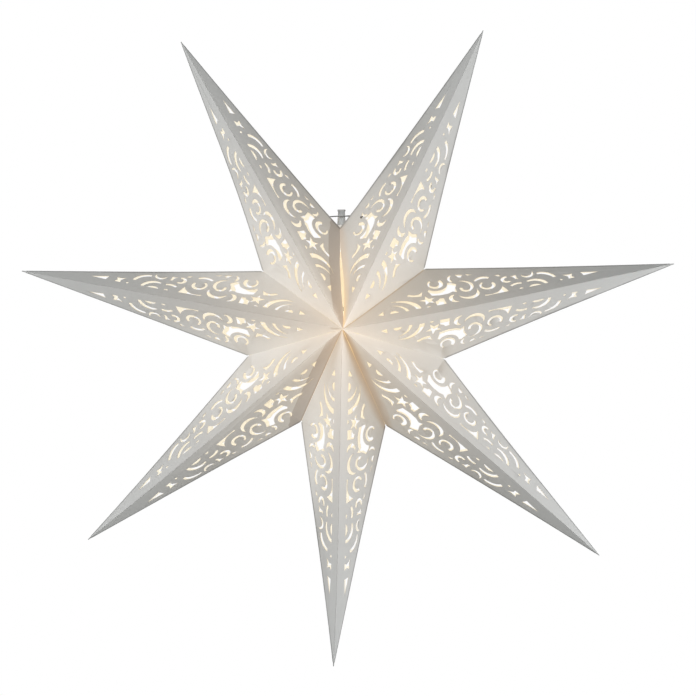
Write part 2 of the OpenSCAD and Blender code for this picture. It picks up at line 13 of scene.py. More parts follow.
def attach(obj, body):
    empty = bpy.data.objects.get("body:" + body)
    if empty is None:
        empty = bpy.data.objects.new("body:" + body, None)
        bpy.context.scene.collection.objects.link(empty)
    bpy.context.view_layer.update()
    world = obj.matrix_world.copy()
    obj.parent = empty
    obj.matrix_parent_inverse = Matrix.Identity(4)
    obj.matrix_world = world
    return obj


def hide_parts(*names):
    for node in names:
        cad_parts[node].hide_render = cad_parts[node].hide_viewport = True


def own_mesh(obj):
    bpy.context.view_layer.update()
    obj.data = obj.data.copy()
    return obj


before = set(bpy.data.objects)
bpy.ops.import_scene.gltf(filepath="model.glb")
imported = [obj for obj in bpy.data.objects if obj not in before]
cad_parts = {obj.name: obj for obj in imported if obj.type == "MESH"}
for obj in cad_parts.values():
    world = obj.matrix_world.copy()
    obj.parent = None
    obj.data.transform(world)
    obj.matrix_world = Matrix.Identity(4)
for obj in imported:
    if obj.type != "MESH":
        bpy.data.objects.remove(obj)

LOG = logging.getLogger("star_lantern")
MM = 0.001
WELD = 0.002 * MM


class Side(Enum):
    """Side of a point's ridge, as the star is seen from the front."""

    CLOCKWISE = -1
    COUNTER = 1


class Face(Enum):
    """Front or back of the star."""

    FRONT = -1
    BACK = 1


class CardPart(Enum):
    """What a face of a card piece is, which is also its material's place in the piece."""

    OUTSIDE = 0
    INSIDE = 1
    EDGE = 2


@dataclass(frozen=True)
class PointShape:
    """How one point of the real star departs from the flat-sided one, in millimetres.

    Args:
        name: Name of the point.
        angle: Direction of its tip in degrees, from +X towards +Z.
        tip_shift: Where its tip lies off the true place.
        bow_clockwise: Bow and S-bend of its clockwise edge, outwards.
        bow_counter: The same for its counter-clockwise edge.
        bow_ridge: The same for its ridge, counter-clockwise.
        slide: How far its cut-outs lie towards the tip.
        corner_shift: Shift of the corner on its counter-clockwise side.
        laps: Width of the doubled card under its clockwise and its counter side, drawn as painted
            shade.
        shades: Width of the brown shade beside a seam on the same two sides.
        leaks: Width of the light from an open seam on the same two sides.
        lifts: Light that the same two sides get across their valley.
        crowds: How much closer than elsewhere their cut-outs lie to the ridge, as a share.
    """

    name: str
    angle: float
    tip_shift: tuple[float, float, float]
    bow_clockwise: tuple[float, float]
    bow_counter: tuple[float, float]
    bow_ridge: tuple[float, float]
    slide: float
    corner_shift: tuple[float, float]
    laps: tuple[float, float] = (0.0, 0.0)
    shades: tuple[float, float] = (0.0, 0.0)
    leaks: tuple[float, float] = (0.0, 0.0)
    lifts: tuple[float, float] = (0.0, 0.0)
    crowds: tuple[float, float] = (0.0, 0.0)

    def bow(self, side: Side) -> tuple[float, float]:
        """Bow of the edge on one side."""
        return self.bow_counter if side is Side.COUNTER else self.bow_clockwise

    def crowd(self, side: Side) -> float:
        """How much closer than elsewhere one side's cut-outs lie to the ridge."""
        return self.crowds[side is Side.COUNTER]


BOTTOM = PointShape(
    name="bottom",
    angle=-92.3,
    tip_shift=(0.5, 1.0, -1.1),
    bow_clockwise=(-0.8, 0.2),
    bow_counter=(-0.7, -0.1),
    bow_ridge=(0.8, -0.4),
    slide=1.8,
    corner_shift=(-0.4, 0.1),
    shades=(0.0, 6.5),
    lifts=(0.235, 0.06),
)
LOWER_RIGHT = PointShape(
    name="lower_right",
    angle=-41.8,
    tip_shift=(2.6, -1.2, -0.5),
    bow_clockwise=(-0.5, 0.1),
    bow_counter=(-0.9, -0.2),
    bow_ridge=(-0.6, -0.6),
    slide=0.0,
    corner_shift=(-0.6, -0.6),
    shades=(9.0, 0.0),
    lifts=(0.08, -0.02),
)
RIGHT = PointShape(
    name="right",
    angle=11.3,
    tip_shift=(-0.7, 0.8, 1.3),
    bow_clockwise=(-0.8, -0.1),
    bow_counter=(-0.6, 0.0),
    bow_ridge=(-1.7, -0.6),
    slide=-1.6,
    corner_shift=(-1.5, -1.2),
    shades=(0.0, 1.8),
    lifts=(0.0, 0.01),
)
TOP_RIGHT = PointShape(
    name="top_right",
    angle=65.8,
    tip_shift=(0.4, 1.4, -3.2),
    bow_clockwise=(-0.6, -0.1),
    bow_counter=(-0.3, 0.1),
    bow_ridge=(0.0, 0.4),
    slide=-1.6,
    corner_shift=(-0.8, 0.0),
    leaks=(0.0, 8.0),
    lifts=(0.035, 0.15),
    crowds=(0.0, 0.07),
)
TOP_LEFT = PointShape(
    name="top_left",
    angle=119.8,
    tip_shift=(-0.4, -1.0, 1.7),
    bow_clockwise=(-0.5, 0.1),
    bow_counter=(-2.1, -0.6),
    bow_ridge=(-0.4, -0.3),
    slide=0.7,
    corner_shift=(-0.7, 1.0),
    laps=(11.0, 0.0),
    lifts=(0.06, 0.11),
)
LEFT = PointShape(
    name="left",
    angle=169.1,
    tip_shift=(0.4, 1.2, -1.8),
    bow_clockwise=(-0.8, -0.1),
    bow_counter=(-0.3, 0.0),
    bow_ridge=(0.0, -0.1),
    slide=1.8,
    corner_shift=(0.9, -0.1),
    lifts=(0.125, 0.065),
)
LOWER_LEFT = PointShape(
    name="lower_left",
    angle=218.4,
    tip_shift=(2.1, -0.6, -1.4),
    bow_clockwise=(-0.9, 0.1),
    bow_counter=(-0.3, 0.0),
    bow_ridge=(1.0, -0.2),
    slide=2.3,
    corner_shift=(1.2, 0.9),
    laps=(0.0, 10.5),
    shades=(0.0, 1.5),
    lifts=(0.13, 0.085),
)


@dataclass(frozen=True)
class StarShape:
    """Sizes of the star as its solids have them, in metres.

    Args:
        centre: Middle of the star.
        radius: Distance of the tips from it.
        valley_radius: Distance of the corners from it.
        half_depth: Distance of the front's and the back's apex from it.
        slit: Half the width of the slit at the top.
        apex_gap: Radius of the hole at each apex.
        points: The points, counter-clockwise from the lowest.
    """

    centre: Vector = Vector((0.00469, -0.00435, -0.11529))
    radius: float = 0.315
    valley_radius: float = 0.096
    half_depth: float = 0.080
    slit: float = 0.0013
    apex_gap: float = 0.0025
    points: tuple[PointShape, ...] = (
        BOTTOM,
        LOWER_RIGHT,
        RIGHT,
        TOP_RIGHT,
        TOP_LEFT,
        LEFT,
        LOWER_LEFT,
    )

    def corner_angle(self, index: int) -> float:
        """Finds the corner between a point and the next one.

        Args:
            index: Number of the point.

        Returns:
            Its direction in degrees.
        """
        after = self.points[(index + 1) % len(self.points)].angle
        here = self.points[index].angle
        return (here + after + (360 if after < here else 0)) / 2

    def side_angle(self, index: int, side: Side) -> float:
        """Direction of the corner on one side of a point, in degrees."""
        count = len(self.points)
        return self.corner_angle(index if side is Side.COUNTER else (index + count - 1) % count)

    def ring(self, radius: float, angle: float) -> np.ndarray:
        """Point of the middle plane, as its X and Z from the centre."""
        turn = math.radians(angle)
        return np.array((radius * math.cos(turn), radius * math.sin(turn)))

    def place(self, flat: np.ndarray, depth: float = 0.0) -> Vector:
        """Point at an X and Z from the centre and a depth."""
        return self.centre + Vector((float(flat[0]), depth, float(flat[1])))


@dataclass(frozen=True)
class Panel:
    """One flat panel of a point: the triangle of apex, tip and corner.

    Args:
        shape: Sizes of the star.
        index: Number of the point.
        side: Side of the point's ridge.
    """

    shape: StarShape
    index: int
    side: Side

    @property
    def point(self) -> PointShape:
        """The point that the panel belongs to."""
        return self.shape.points[self.index]

    @property
    def tip(self) -> np.ndarray:
        """The tip, as its X and Z from the centre."""
        return self.shape.ring(self.shape.radius, self.point.angle)

    @property
    def corner(self) -> np.ndarray:
        """The corner, as its X and Z from the centre."""
        angle = self.shape.side_angle(self.index, self.side)
        return self.shape.ring(self.shape.valley_radius, angle)

    def arms(self, face: Face) -> tuple[Vector, Vector]:
        """Ridge and valley as vectors from the front's or back's apex."""
        apex = self.shape.place(np.zeros(2), face.value * self.shape.half_depth)
        return self.shape.place(self.tip) - apex, self.shape.place(self.corner) - apex

    def heights(self) -> tuple[float, float, float]:
        """Measures the triangle.

        Returns:
            Its heights over its valley, its ridge and its outer edge.
        """
        ridge, valley = self.arms(Face.FRONT)
        area = ridge.cross(valley).length
        return area / valley.length, area / ridge.length, area / (ridge - valley).length


def smooth_step(low: float, high: float, value: np.ndarray) -> np.ndarray:
    """Rises smoothly from 0 at one value to 1 at another."""
    share = np.clip((value - low) / (high - low), 0, 1)
    return share * share * (3 - 2 * share)


@dataclass
class CardField:
    """Where card lies in the star's panels, and how the real star bends it there.

    Args:
        shape: Sizes of the star.
        buckle: Height of the slow waves in a panel, in metres.
        buckle_length: Length of those waves.
        seed: Place in the noise that they are read from.
        hub_slide: How far the cut-outs by the hub lie towards the tip.
        squeeze: How much closer to the ridge the cut-outs lie, as a share.
        hub_squeeze: The same again by the hub.
        margin: Width of the plain strip along a panel's sides.
        slit_ends: Where the opening at the top starts and ends, from the centre.
        slit_half: Half the opening's greatest width.
        slit_marks: Distances from the centre at which the opening's lean is given.
        slit_lean: How far it lies off the straight line there, clockwise.
        slit_pull: Distance in which the pull on the card beside it falls to a third.
        slit_fade: Distances from the centre between which that pull ends.
        hub_pull: Distance in which the pull on the card round an apex falls to a third.
        shut: What stays open where card meets card.
        least: Smallest width that is divided by.
        still: Distances along the ridge between which cut-outs begin to move.
        hub_reach: Distances along the ridge between which the hub's moves end.
        tip_hold: Shares of the ridge between which cut-outs cease to move.
        ridge_bend: Share of the way to a panel's edge up to which it follows its ridge.
    """

    shape: StarShape
    buckle: float = 0.5 * MM
    buckle_length: float = 75 * MM
    seed: float = 3.7
    hub_slide: float = 2.2 * MM
    squeeze: float = 0.04
    hub_squeeze: float = 0.03
    margin: float = 6 * MM
    slit_ends: tuple[float, float] = (6 * MM, 80 * MM)
    slit_half: float = 1.75 * MM
    slit_marks: tuple[float, ...] = (0.0, 18 * MM, 45 * MM, 70 * MM, 92 * MM)
    slit_lean: tuple[float, ...] = (0.8 * MM, 1.3 * MM, 0.7 * MM, -0.8 * MM, -0.4 * MM)
    slit_pull: float = 8 * MM
    slit_fade: tuple[float, float] = (100 * MM, 125 * MM)
    hub_pull: float = 9 * MM
    shut: float = 0.15 * MM
    least: float = 0.1 * MM
    still: tuple[float, float] = (10 * MM, 40 * MM)
    hub_reach: tuple[float, float] = (80 * MM, 125 * MM)
    tip_hold: tuple[float, float] = (0.8, 0.95)
    ridge_bend: float = 0.7

    def panels(self) -> list[Panel]:
        """The panels, two for each point, clockwise side first."""
        count = len(self.shape.points)
        return [Panel(self.shape, index, side) for index in range(count) for side in Side]

    def shares(self, points: np.ndarray) -> tuple[np.ndarray, np.ndarray, np.ndarray]:
        """Finds the panel that each point lies in.

        Args:
            points: Points of the row frame, one a row.

        Returns:
            The panel's number and the shares of its tip and of its corner.
        """
        flat = (points - np.array(self.shape.centre))[:, [0, 2]]
        best = np.full(len(flat), -np.inf)
        number = np.zeros(len(flat), int)
        tip_share = np.zeros(len(flat))
        corner_share = np.zeros(len(flat))
        for key, panel in enumerate(self.panels()):
            share = flat @ np.linalg.inv(np.array((panel.tip, panel.corner)))
            inside = share.min(axis=1)
            better = inside > best
            best[better] = inside[better]
            number[better] = key
            tip_share[better] = share[better, 0]
            corner_share[better] = share[better, 1]
        return number, tip_share, corner_share

    def bent(self, points: np.ndarray) -> np.ndarray:
        """Moves points of the flat-sided star to where the real card has them.

        Args:
            points: Points of the flat-sided star, one a row.

        Returns:
            The moved points.
        """
        number, tip_share, corner_share = self.shares(points)
        moved = points.copy()
        for key, panel in enumerate(self.panels()):
            for face in Face:
                depth = (points[:, 1] - self.shape.centre.y) * face.value
                here = (number == key) & ((depth > 0) if face is Face.BACK else (depth >= 0))
                moved[here] += self.panel_shift(panel, face, tip_share[here], corner_share[here])
        self.buckle_card(points, moved, tip_share, corner_share)
        self.close_slit(points, moved)
        self.close_hub(points, moved)
        return moved

    def panel_shift(
        self, panel: Panel, face: Face, tip_share: np.ndarray, corner_share: np.ndarray
    ) -> np.ndarray:
        """Works out how far the card of one panel moves.

        Args:
            panel: The panel.
            face: Front or back.
            tip_share: Share of the tip in each place.
            corner_share: Share of the corner in each place.

        Returns:
            The moves, one a row.
        """
        point = panel.point
        ridge, valley = panel.arms(face)
        along_unit = ridge.normalized()
        corner_along = valley.dot(along_unit)
        across = valley - along_unit * corner_along
        over_valley, _, over_edge = panel.heights()
        length = ridge.length
        along = tip_share * length + corner_share * corner_along
        aside = corner_share * across.length
        rest = 1 - tip_share - corner_share
        width = across.length * np.where(
            along < corner_along, along / corner_along, (length - along) / (length - corner_along)
        )
        outness = np.clip(aside / np.maximum(width, self.least), 0, 1)
        inner = smooth_step(0, self.margin, tip_share * over_valley)
        inner = inner * smooth_step(0, self.margin, rest * over_edge)
        inner = inner * smooth_step(*self.still, along)
        hub = 1 - smooth_step(*self.hub_reach, along)
        slide = (point.slide * MM + self.hub_slide * hub) * inner
        slide = slide * (1 - smooth_step(*self.tip_hold, along / length))
        closer = self.squeeze + point.crowd(panel.side) + self.hub_squeeze * hub
        squeeze = -closer * aside * inner
        shift = np.outer(slide, along_unit) + np.outer(squeeze, across.normalized())
        turn = math.radians(point.angle)
        counter = np.array((-math.sin(turn), 0, math.cos(turn)))
        bow = self.bowed(point.bow_ridge, along / length)
        bow *= 1 - smooth_step(self.ridge_bend, 1, outness)
        shift += np.outer(bow, counter)
        edge = (panel.tip - panel.corner) / np.linalg.norm(panel.tip - panel.corner)
        outward = np.array((edge[1], 0, -edge[0]))
        outward *= math.copysign(1, float(outward[[0, 2]] @ panel.corner))
        share = np.clip(tip_share, 0, 1)
        side = np.clip(corner_share / np.maximum(1 - share, 1e-4), 0, 1)
        shift += np.outer(self.bowed(point.bow(panel.side), share) * side, outward)
        owner = panel.index if panel.side is Side.COUNTER else panel.index - 1
        corner_shift = self.shape.points[owner].corner_shift
        shift += np.outer(corner_share, (corner_shift[0] * MM, 0, corner_shift[1] * MM))
        shift += np.outer(tip_share, np.array(point.tip_shift) * MM)
        return shift

    def bowed(self, bow: tuple[float, float], share: np.ndarray) -> np.ndarray:
        """Bow and S-bend at each share of the way along a line."""
        share = np.clip(share, 0, 1)
        return (bow[0] * np.sin(math.pi * share) + bow[1] * np.sin(2 * math.pi * share)) * MM

    def buckle_card(
        self,
        points: np.ndarray,
        moved: np.ndarray,
        tip_share: np.ndarray,
        corner_share: np.ndarray,
    ) -> None:
        """Adds the slow waves that the panels have between their folds.

        Args:
            points: Points of the flat-sided star, one a row.
            moved: The same points as bent so far, which it changes.
            tip_share: Share of the tip in each place.
            corner_share: Share of the corner in each place.
        """
        # Three shares that add up to 1 have a product of 1 / 27 at most.
        window = np.clip(27 * tip_share * corner_share * (1 - tip_share - corner_share), 0, 1)
        for k in np.nonzero(window > 0)[0]:
            x, y, z = points[k]
            layer = self.seed if y < self.shape.centre.y else -self.seed
            spot = Vector((x / self.buckle_length, layer, z / self.buckle_length))
            moved[k, 1] += self.buckle * window[k] * noise.noise(spot)

    def close_slit(self, points: np.ndarray, moved: np.ndarray) -> None:
        """Draws the slit at the top shut, but for the opening at the front.

        Args:
            points: Points of the flat-sided star, one a row.
            moved: The same points as bent so far, which it changes.
        """
        turn = math.radians(self.shape.corner_angle(self.shape.points.index(TOP_RIGHT)))
        up = np.array((math.cos(turn), math.sin(turn)))
        aside = np.array((up[1], -up[0]))
        flat = (points - np.array(self.shape.centre))[:, [0, 2]]
        reach = flat @ up
        off = flat @ aside
        start, end = self.slit_ends
        share = np.clip((reach - start) / (end - start), 0, 1)
        half = self.shut + self.slit_half * np.sin(math.pi * share)
        half[points[:, 1] > self.shape.centre.y] = self.shut
        near = np.exp(-np.maximum(np.abs(off) - self.shape.slit, 0) / self.slit_pull)
        near *= (reach > 0) * (1 - smooth_step(*self.slit_fade, reach))
        pull = (self.shape.slit - half) * near * np.sign(off)
        lean = np.interp(reach, self.slit_marks, self.slit_lean)
        lean *= near * (points[:, 1] < self.shape.centre.y)
        moved[:, [0, 2]] += np.outer(lean - pull, aside)

    def close_hub(self, points: np.ndarray, moved: np.ndarray) -> None:
        """Draws the card round each apex together.

        Args:
            points: Points of the flat-sided star, one a row.
            moved: The same points as bent so far, which it changes.
        """
        for face in Face:
            apex = np.array(self.shape.place(np.zeros(2), face.value * self.shape.half_depth))
            here = (points[:, 1] - self.shape.centre.y) * face.value > 0
            away = moved[here] - apex
            radius = np.maximum(np.hypot(away[:, 0], away[:, 2]), self.least)
            gap = self.shape.apex_gap
            fall = np.exp(-np.maximum(radius - gap, 0) / self.hub_pull)
            drawn = (gap - 2 * self.shut) * fall
            moved[here] = apex + away * (np.maximum(radius - drawn, self.shut) / radius)[:, None]


class Nodes:
    """Adds and joins nodes in one tree."""

    def __init__(self, tree: bpy.types.NodeTree) -> None:
        """Empties a tree to build in."""
        self.tree = tree
        tree.nodes.clear()

    def add(self, kind: str, **settings: object) -> bpy.types.Node:
        """Adds a node.

        Args:
            kind: Blender's name of the node.
            settings: Properties to set on it.

        Returns:
            The node.
        """
        node = self.tree.nodes.new(kind)
        for name, value in settings.items():
            setattr(node, name, value)
        return node

    def join(self, start: bpy.types.NodeSocket, end: bpy.types.NodeSocket) -> None:
        """Joins an output to an input."""
        self.tree.links.new(start, end)

    def feed(self, socket: bpy.types.NodeSocket, value: object) -> None:
        """Fills a socket.

        Args:
            socket: The socket.
            value: An output to join to it, or a number or colour to set it to.
        """
        if isinstance(value, bpy.types.NodeSocket):
            self.join(value, socket)
        else:
            socket.default_value = value

    def math(self, operation: str, *values: object) -> bpy.types.NodeSocket:
        """Adds a Math node.

        Args:
            operation: What it does.
            values: Its inputs, each an output or a number.

        Returns:
            Its output.
        """
        node = self.add("ShaderNodeMath", operation=operation)
        for socket, value in zip(node.inputs, values):
            self.feed(socket, value)
        return node.outputs[0]

    def ramp(
        self, value: object, low: float, high: float, to_low: float = 0.0, to_high: float = 1.0
    ) -> bpy.types.NodeSocket:
        """Adds a smooth step from one value to another.

        Args:
            value: The output to read.
            low: Where the step starts.
            high: Where it ends.
            to_low: Result up to its start.
            to_high: Result past its end.

        Returns:
            The result.
        """
        node = self.add("ShaderNodeMapRange", interpolation_type="SMOOTHSTEP")
        for socket, number in zip(node.inputs, (value, low, high, to_low, to_high)):
            self.feed(socket, number)
        return node.outputs[0]

    def mix(self, share: object, first: object, second: object) -> bpy.types.NodeSocket:
        """Adds a colour mix.

        Args:
            share: Share of the second colour.
            first: The first colour.
            second: The second colour.

        Returns:
            The mixed colour.
        """
        node = self.add("ShaderNodeMix", data_type="RGBA")
        for name, value in (("Factor_Float", share), ("A_Color", first), ("B_Color", second)):
            socket = next(s for s in node.inputs if s.identifier == name)
            self.feed(socket, value)
        return next(s for s in node.outputs if s.identifier == "Result_Color")

    def vector(self, operation: str, first: object, second: object) -> bpy.types.NodeSocket:
        """Adds a Vector Math node with two inputs.

        Args:
            operation: What it does.
            first: A vector or colour.
            second: Another one.

        Returns:
            Its vector.
        """
        node = self.add("ShaderNodeVectorMath", operation=operation)
        self.feed(node.inputs[0], first)
        self.feed(node.inputs[1], second)
        return node.outputs[0]

    def times(self, first: object, second: object) -> bpy.types.NodeSocket:
        """Multiplies a colour by a colour."""
        return self.vector("MULTIPLY", first, second)

    def plus(self, first: object, second: object) -> bpy.types.NodeSocket:
        """Adds two colours."""
        return self.vector("ADD", first, second)

    def scaled(self, colour: object, factor: object) -> bpy.types.NodeSocket:
        """Multiplies a colour by a number.

        Args:
            colour: The colour.
            factor: The number.

        Returns:
            The product.
        """
        node = self.add("ShaderNodeVectorMath", operation="SCALE")
        self.feed(node.inputs[0], colour)
        self.feed(node.inputs["Scale"], factor)
        return node.outputs[0]

    def noise(
        self, place: object, scale: object, detail: float = 2.0, distortion: float = 0.0
    ) -> bpy.types.NodeSocket:
        """Adds a noise.

        Args:
            place: Where it is read.
            scale: How fine it is.
            detail: How much finer noise lies in it.
            distortion: How far it is warped.

        Returns:
            Its value.
        """
        node = self.add("ShaderNodeTexNoise")
        node.inputs["Detail"].default_value = detail
        node.inputs["Distortion"].default_value = distortion
        self.feed(node.inputs["Vector"], place)
        self.feed(node.inputs["Scale"], scale)
        return node.outputs[0]

    def spot(self) -> bpy.types.NodeSocket:
        """Object coordinates."""
        return self.add("ShaderNodeTexCoord").outputs["Object"]

    def read(self, name: str) -> bpy.types.NodeSocket:
        """Reads one of the piece's own attributes."""
        return self.add("ShaderNodeAttribute", attribute_name=name).outputs["Fac"]

    def group(self, tree: bpy.types.NodeTree, **values: object) -> bpy.types.Node:
        """Places a node group.

        Args:
            tree: The group.
            values: Its inputs by name.

        Returns:
            The group's node.
        """
        node = self.add("ShaderNodeGroup", node_tree=tree)
        for name, value in values.items():
            self.feed(node.inputs[name], value)
        return node


def rgba(colour: tuple[float, float, float]) -> tuple[float, float, float, float]:
    """Colour with full opacity."""
    return (*colour, 1.0)


FLOAT = "NodeSocketFloat"
COLOUR = "NodeSocketColor"
VECTOR = "NodeSocketVector"
WHITE = rgba((1, 1, 1))


def new_group(
    name: str, inputs: dict[str, tuple[str, object]], outputs: dict[str, str]
) -> tuple[Nodes, bpy.types.bpy_prop_collection, bpy.types.bpy_prop_collection]:
    """Makes an empty node group with named sockets.

    Args:
        name: Name of the group.
        inputs: Socket type and default of each input.
        outputs: Socket type of each output.

    Returns:
        The group's nodes, the values that it is given and the sockets that it fills.
    """
    tree = bpy.data.node_groups.new(name, "ShaderNodeTree")
    for label, (kind, default) in inputs.items():
        socket = tree.interface.new_socket(label, in_out="INPUT", socket_type=kind)
        if default is not None:
            socket.default_value = default
    for label, kind in outputs.items():
        tree.interface.new_socket(label, in_out="OUTPUT", socket_type=kind)
    nodes = Nodes(tree)
    return nodes, nodes.add("NodeGroupInput").outputs, nodes.add("NodeGroupOutput").inputs


class Effects:
    """Node groups that several finishes share."""

    def __init__(self) -> None:
        """Builds each group once."""
        self.glow = self.make_glow()
        self.mottle = self.make_mottle()
        self.fibres = self.make_fibres()
        self.handling = self.make_handling()

    def make_glow(self) -> bpy.types.NodeTree:
        """Light of the lamp on the card: strong at the centre, faint and neutral at the tips."""
        nodes, given, made = new_group(
            "lamp_glow",
            {
                "Place": (VECTOR, None),
                "Near": (COLOUR, WHITE),
                "Far": (COLOUR, WHITE),
                "Reach": (FLOAT, 0.1),
            },
            {"Light": COLOUR},
        )
        away = nodes.vector("SUBTRACT", given["Place"], StarShape().centre)
        flat = nodes.vector("MULTIPLY", away, (1, 0, 1))
        length = nodes.add("ShaderNodeVectorMath", operation="LENGTH")
        nodes.join(flat, length.inputs[0])
        fall = nodes.math("DIVIDE", length.outputs["Value"], given["Reach"])
        fall = nodes.math("EXPONENT", nodes.math("MULTIPLY", fall, -1.0))
        nodes.join(nodes.mix(fall, given["Far"], given["Near"]), made["Light"])
        return nodes.tree

    def make_mottle(self) -> bpy.types.NodeTree:
        """Slow and fine unevenness about 1, by which a colour or a light is multiplied."""
        nodes, given, made = new_group(
            "mottle",
            {
                "Place": (VECTOR, None),
                "Slow": (FLOAT, 40.0),
                "Fine": (FLOAT, 700.0),
                "Depth": (FLOAT, 0.05),
            },
            {"Factor": FLOAT},
        )
        slow, fine = (
            nodes.math("SUBTRACT", nodes.noise(given["Place"], given[name], 3.0), 0.5)
            for name in ("Slow", "Fine")
        )
        total = nodes.math("MULTIPLY_ADD", fine, 0.8, slow)
        wide = nodes.math("MULTIPLY", total, nodes.math("MULTIPLY", given["Depth"], 2.0))
        nodes.join(nodes.math("ADD", wide, 1.0), made["Factor"])
        return nodes.tree

    def make_fibres(self) -> bpy.types.NodeTree:
        """Height of pressed card: fine grain with short crossing fibres."""
        nodes, given, made = new_group(
            "fibres",
            {"Place": (VECTOR, None), "Grain": (FLOAT, 900.0), "Fibre": (FLOAT, 160.0)},
            {"Height": FLOAT},
        )
        height = nodes.math("MULTIPLY", nodes.noise(given["Place"], given["Grain"]), 0.6)
        for turn in (0.5, 2.1):
            turned = nodes.add("ShaderNodeMapping")
            turned.inputs["Rotation"].default_value = (0.3, turn, 0.7)
            turned.inputs["Scale"].default_value = (1, 1, 7)
            nodes.join(given["Place"], turned.inputs["Vector"])
            strand = nodes.noise(turned.outputs[0], given["Fibre"])
            height = nodes.math("ADD", height, nodes.math("MULTIPLY", strand, 0.3))
        nodes.join(height, made["Height"])
        return nodes.tree

    def make_handling(self) -> bpy.types.NodeTree:
        """Roughness of a hard surface that has been handled: smears over fine pits."""
        nodes, given, made = new_group(
            "handling",
            {"Place": (VECTOR, None), "Smooth": (FLOAT, 0.3), "Worn": (FLOAT, 0.45)},
            {"Roughness": FLOAT, "Height": FLOAT},
        )
        share = nodes.ramp(nodes.noise(given["Place"], 120.0, 4.0, 1.2), 0.35, 0.7)
        spread = nodes.math("SUBTRACT", given["Worn"], given["Smooth"])
        rough = nodes.math("MULTIPLY_ADD", share, spread, given["Smooth"])
        nodes.join(rough, made["Roughness"])
        nodes.join(nodes.noise(given["Place"], 2600.0), made["Height"])
        return nodes.tree


@dataclass(frozen=True)
class Unevenness:
    """Uneven roughness of a dull surface.

    Args:
        scale: How fine it is.
        detail: How much finer unevenness lies in it.
        low: The least roughness.
        high: The greatest.
    """

    scale: float
    detail: float
    low: float
    high: float


PRESSED_CARD = Unevenness(scale=300.0, detail=3.0, low=0.62, high=0.78)
CUT_CARD = Unevenness(scale=900.0, detail=2.0, low=0.8, high=0.95)
CARD_RELIEF = 0.03 * MM
METAL_RELIEF = 0.008 * MM
TURNED_CREASE = 35.0


class Finish:
    """A material with a Principled shader, built up by the finishes below."""

    def __init__(self, name: str, effects: Effects) -> None:
        """Makes the material.

        Args:
            name: Name of the material.
            effects: Node groups that it may place.
        """
        self.effects = effects
        self.material = bpy.data.materials.new(name)
        self.material.use_nodes = True
        self.nodes = Nodes(self.material.node_tree)
        self.surface = self.nodes.add("ShaderNodeBsdfPrincipled")
        out = self.nodes.add("ShaderNodeOutputMaterial")
        self.nodes.join(self.surface.outputs[0], out.inputs["Surface"])
        self.spot = self.nodes.spot()

    def set(self, name: str, value: float) -> None:
        """Sets one of the shader's own numbers."""
        self.surface.inputs[name].default_value = value

    def feed(self, name: str, value: bpy.types.NodeSocket) -> None:
        """Joins an output to one of the shader's inputs."""
        self.nodes.join(value, self.surface.inputs[name])

    def mottle(self, slow: float, fine: float, depth: float) -> bpy.types.NodeSocket:
        """Places the unevenness.

        Args:
            slow: How fine its slow part is.
            fine: How fine its fine part is.
            depth: How far it departs from 1.

        Returns:
            The factor.
        """
        tree = self.effects.mottle
        node = self.nodes.group(tree, Place=self.spot, Slow=slow, Fine=fine, Depth=depth)
        return node.outputs["Factor"]

    def glow(
        self,
        near: tuple[float, float, float],
        far: tuple[float, float, float],
        reach: float,
    ) -> bpy.types.NodeSocket:
        """Places a colour that changes from the star's centre outwards.

        Args:
            near: The colour at the centre.
            far: The colour far from it.
            reach: Distance in which the first one falls to a third, in metres.

        Returns:
            The colour.
        """
        tree = self.effects.glow
        node = self.nodes.group(tree, Place=self.spot, Near=rgba(near), Far=rgba(far), Reach=reach)
        return node.outputs["Light"]

    def shine(self, light: bpy.types.NodeSocket) -> None:
        """Makes the surface give a light, which isn't sampled as a lamp."""
        self.feed("Emission Color", light)
        self.set("Emission Strength", 1.0)
        self.material.cycles.emission_sampling = "NONE"

    def roughen(self, kind: Unevenness) -> None:
        """Gives the surface an uneven roughness."""
        value = self.nodes.noise(self.spot, kind.scale, kind.detail)
        self.feed("Roughness", self.nodes.ramp(value, 0.3, 0.7, kind.low, kind.high))

    def handle(self, smooth: float, worn: float) -> bpy.types.NodeSocket:
        """Gives the surface the roughness of a handled one.

        Args:
            smooth: Roughness where it is clean.
            worn: Roughness where it has been handled.

        Returns:
            The height of its pits.
        """
        tree = self.effects.handling
        node = self.nodes.group(tree, Place=self.spot, Smooth=smooth, Worn=worn)
        self.feed("Roughness", node.outputs["Roughness"])
        return node.outputs["Height"]

    def bump(self, height: bpy.types.NodeSocket, depth: float) -> None:
        """Feeds a height to the normal.

        Args:
            height: The height, between 0 and 1.
            depth: What 1 stands for, in metres.
        """
        node = self.nodes.add("ShaderNodeBump")
        node.inputs["Distance"].default_value = depth
        self.nodes.join(height, node.inputs["Height"])
        self.feed("Normal", node.outputs[0])

    def press(self) -> None:
        """Gives the surface the roughness and the fibres of pressed card."""
        self.roughen(PRESSED_CARD)
        fibres = self.nodes.group(self.effects.fibres, Place=self.spot)
        self.bump(fibres.outputs["Height"], CARD_RELIEF)


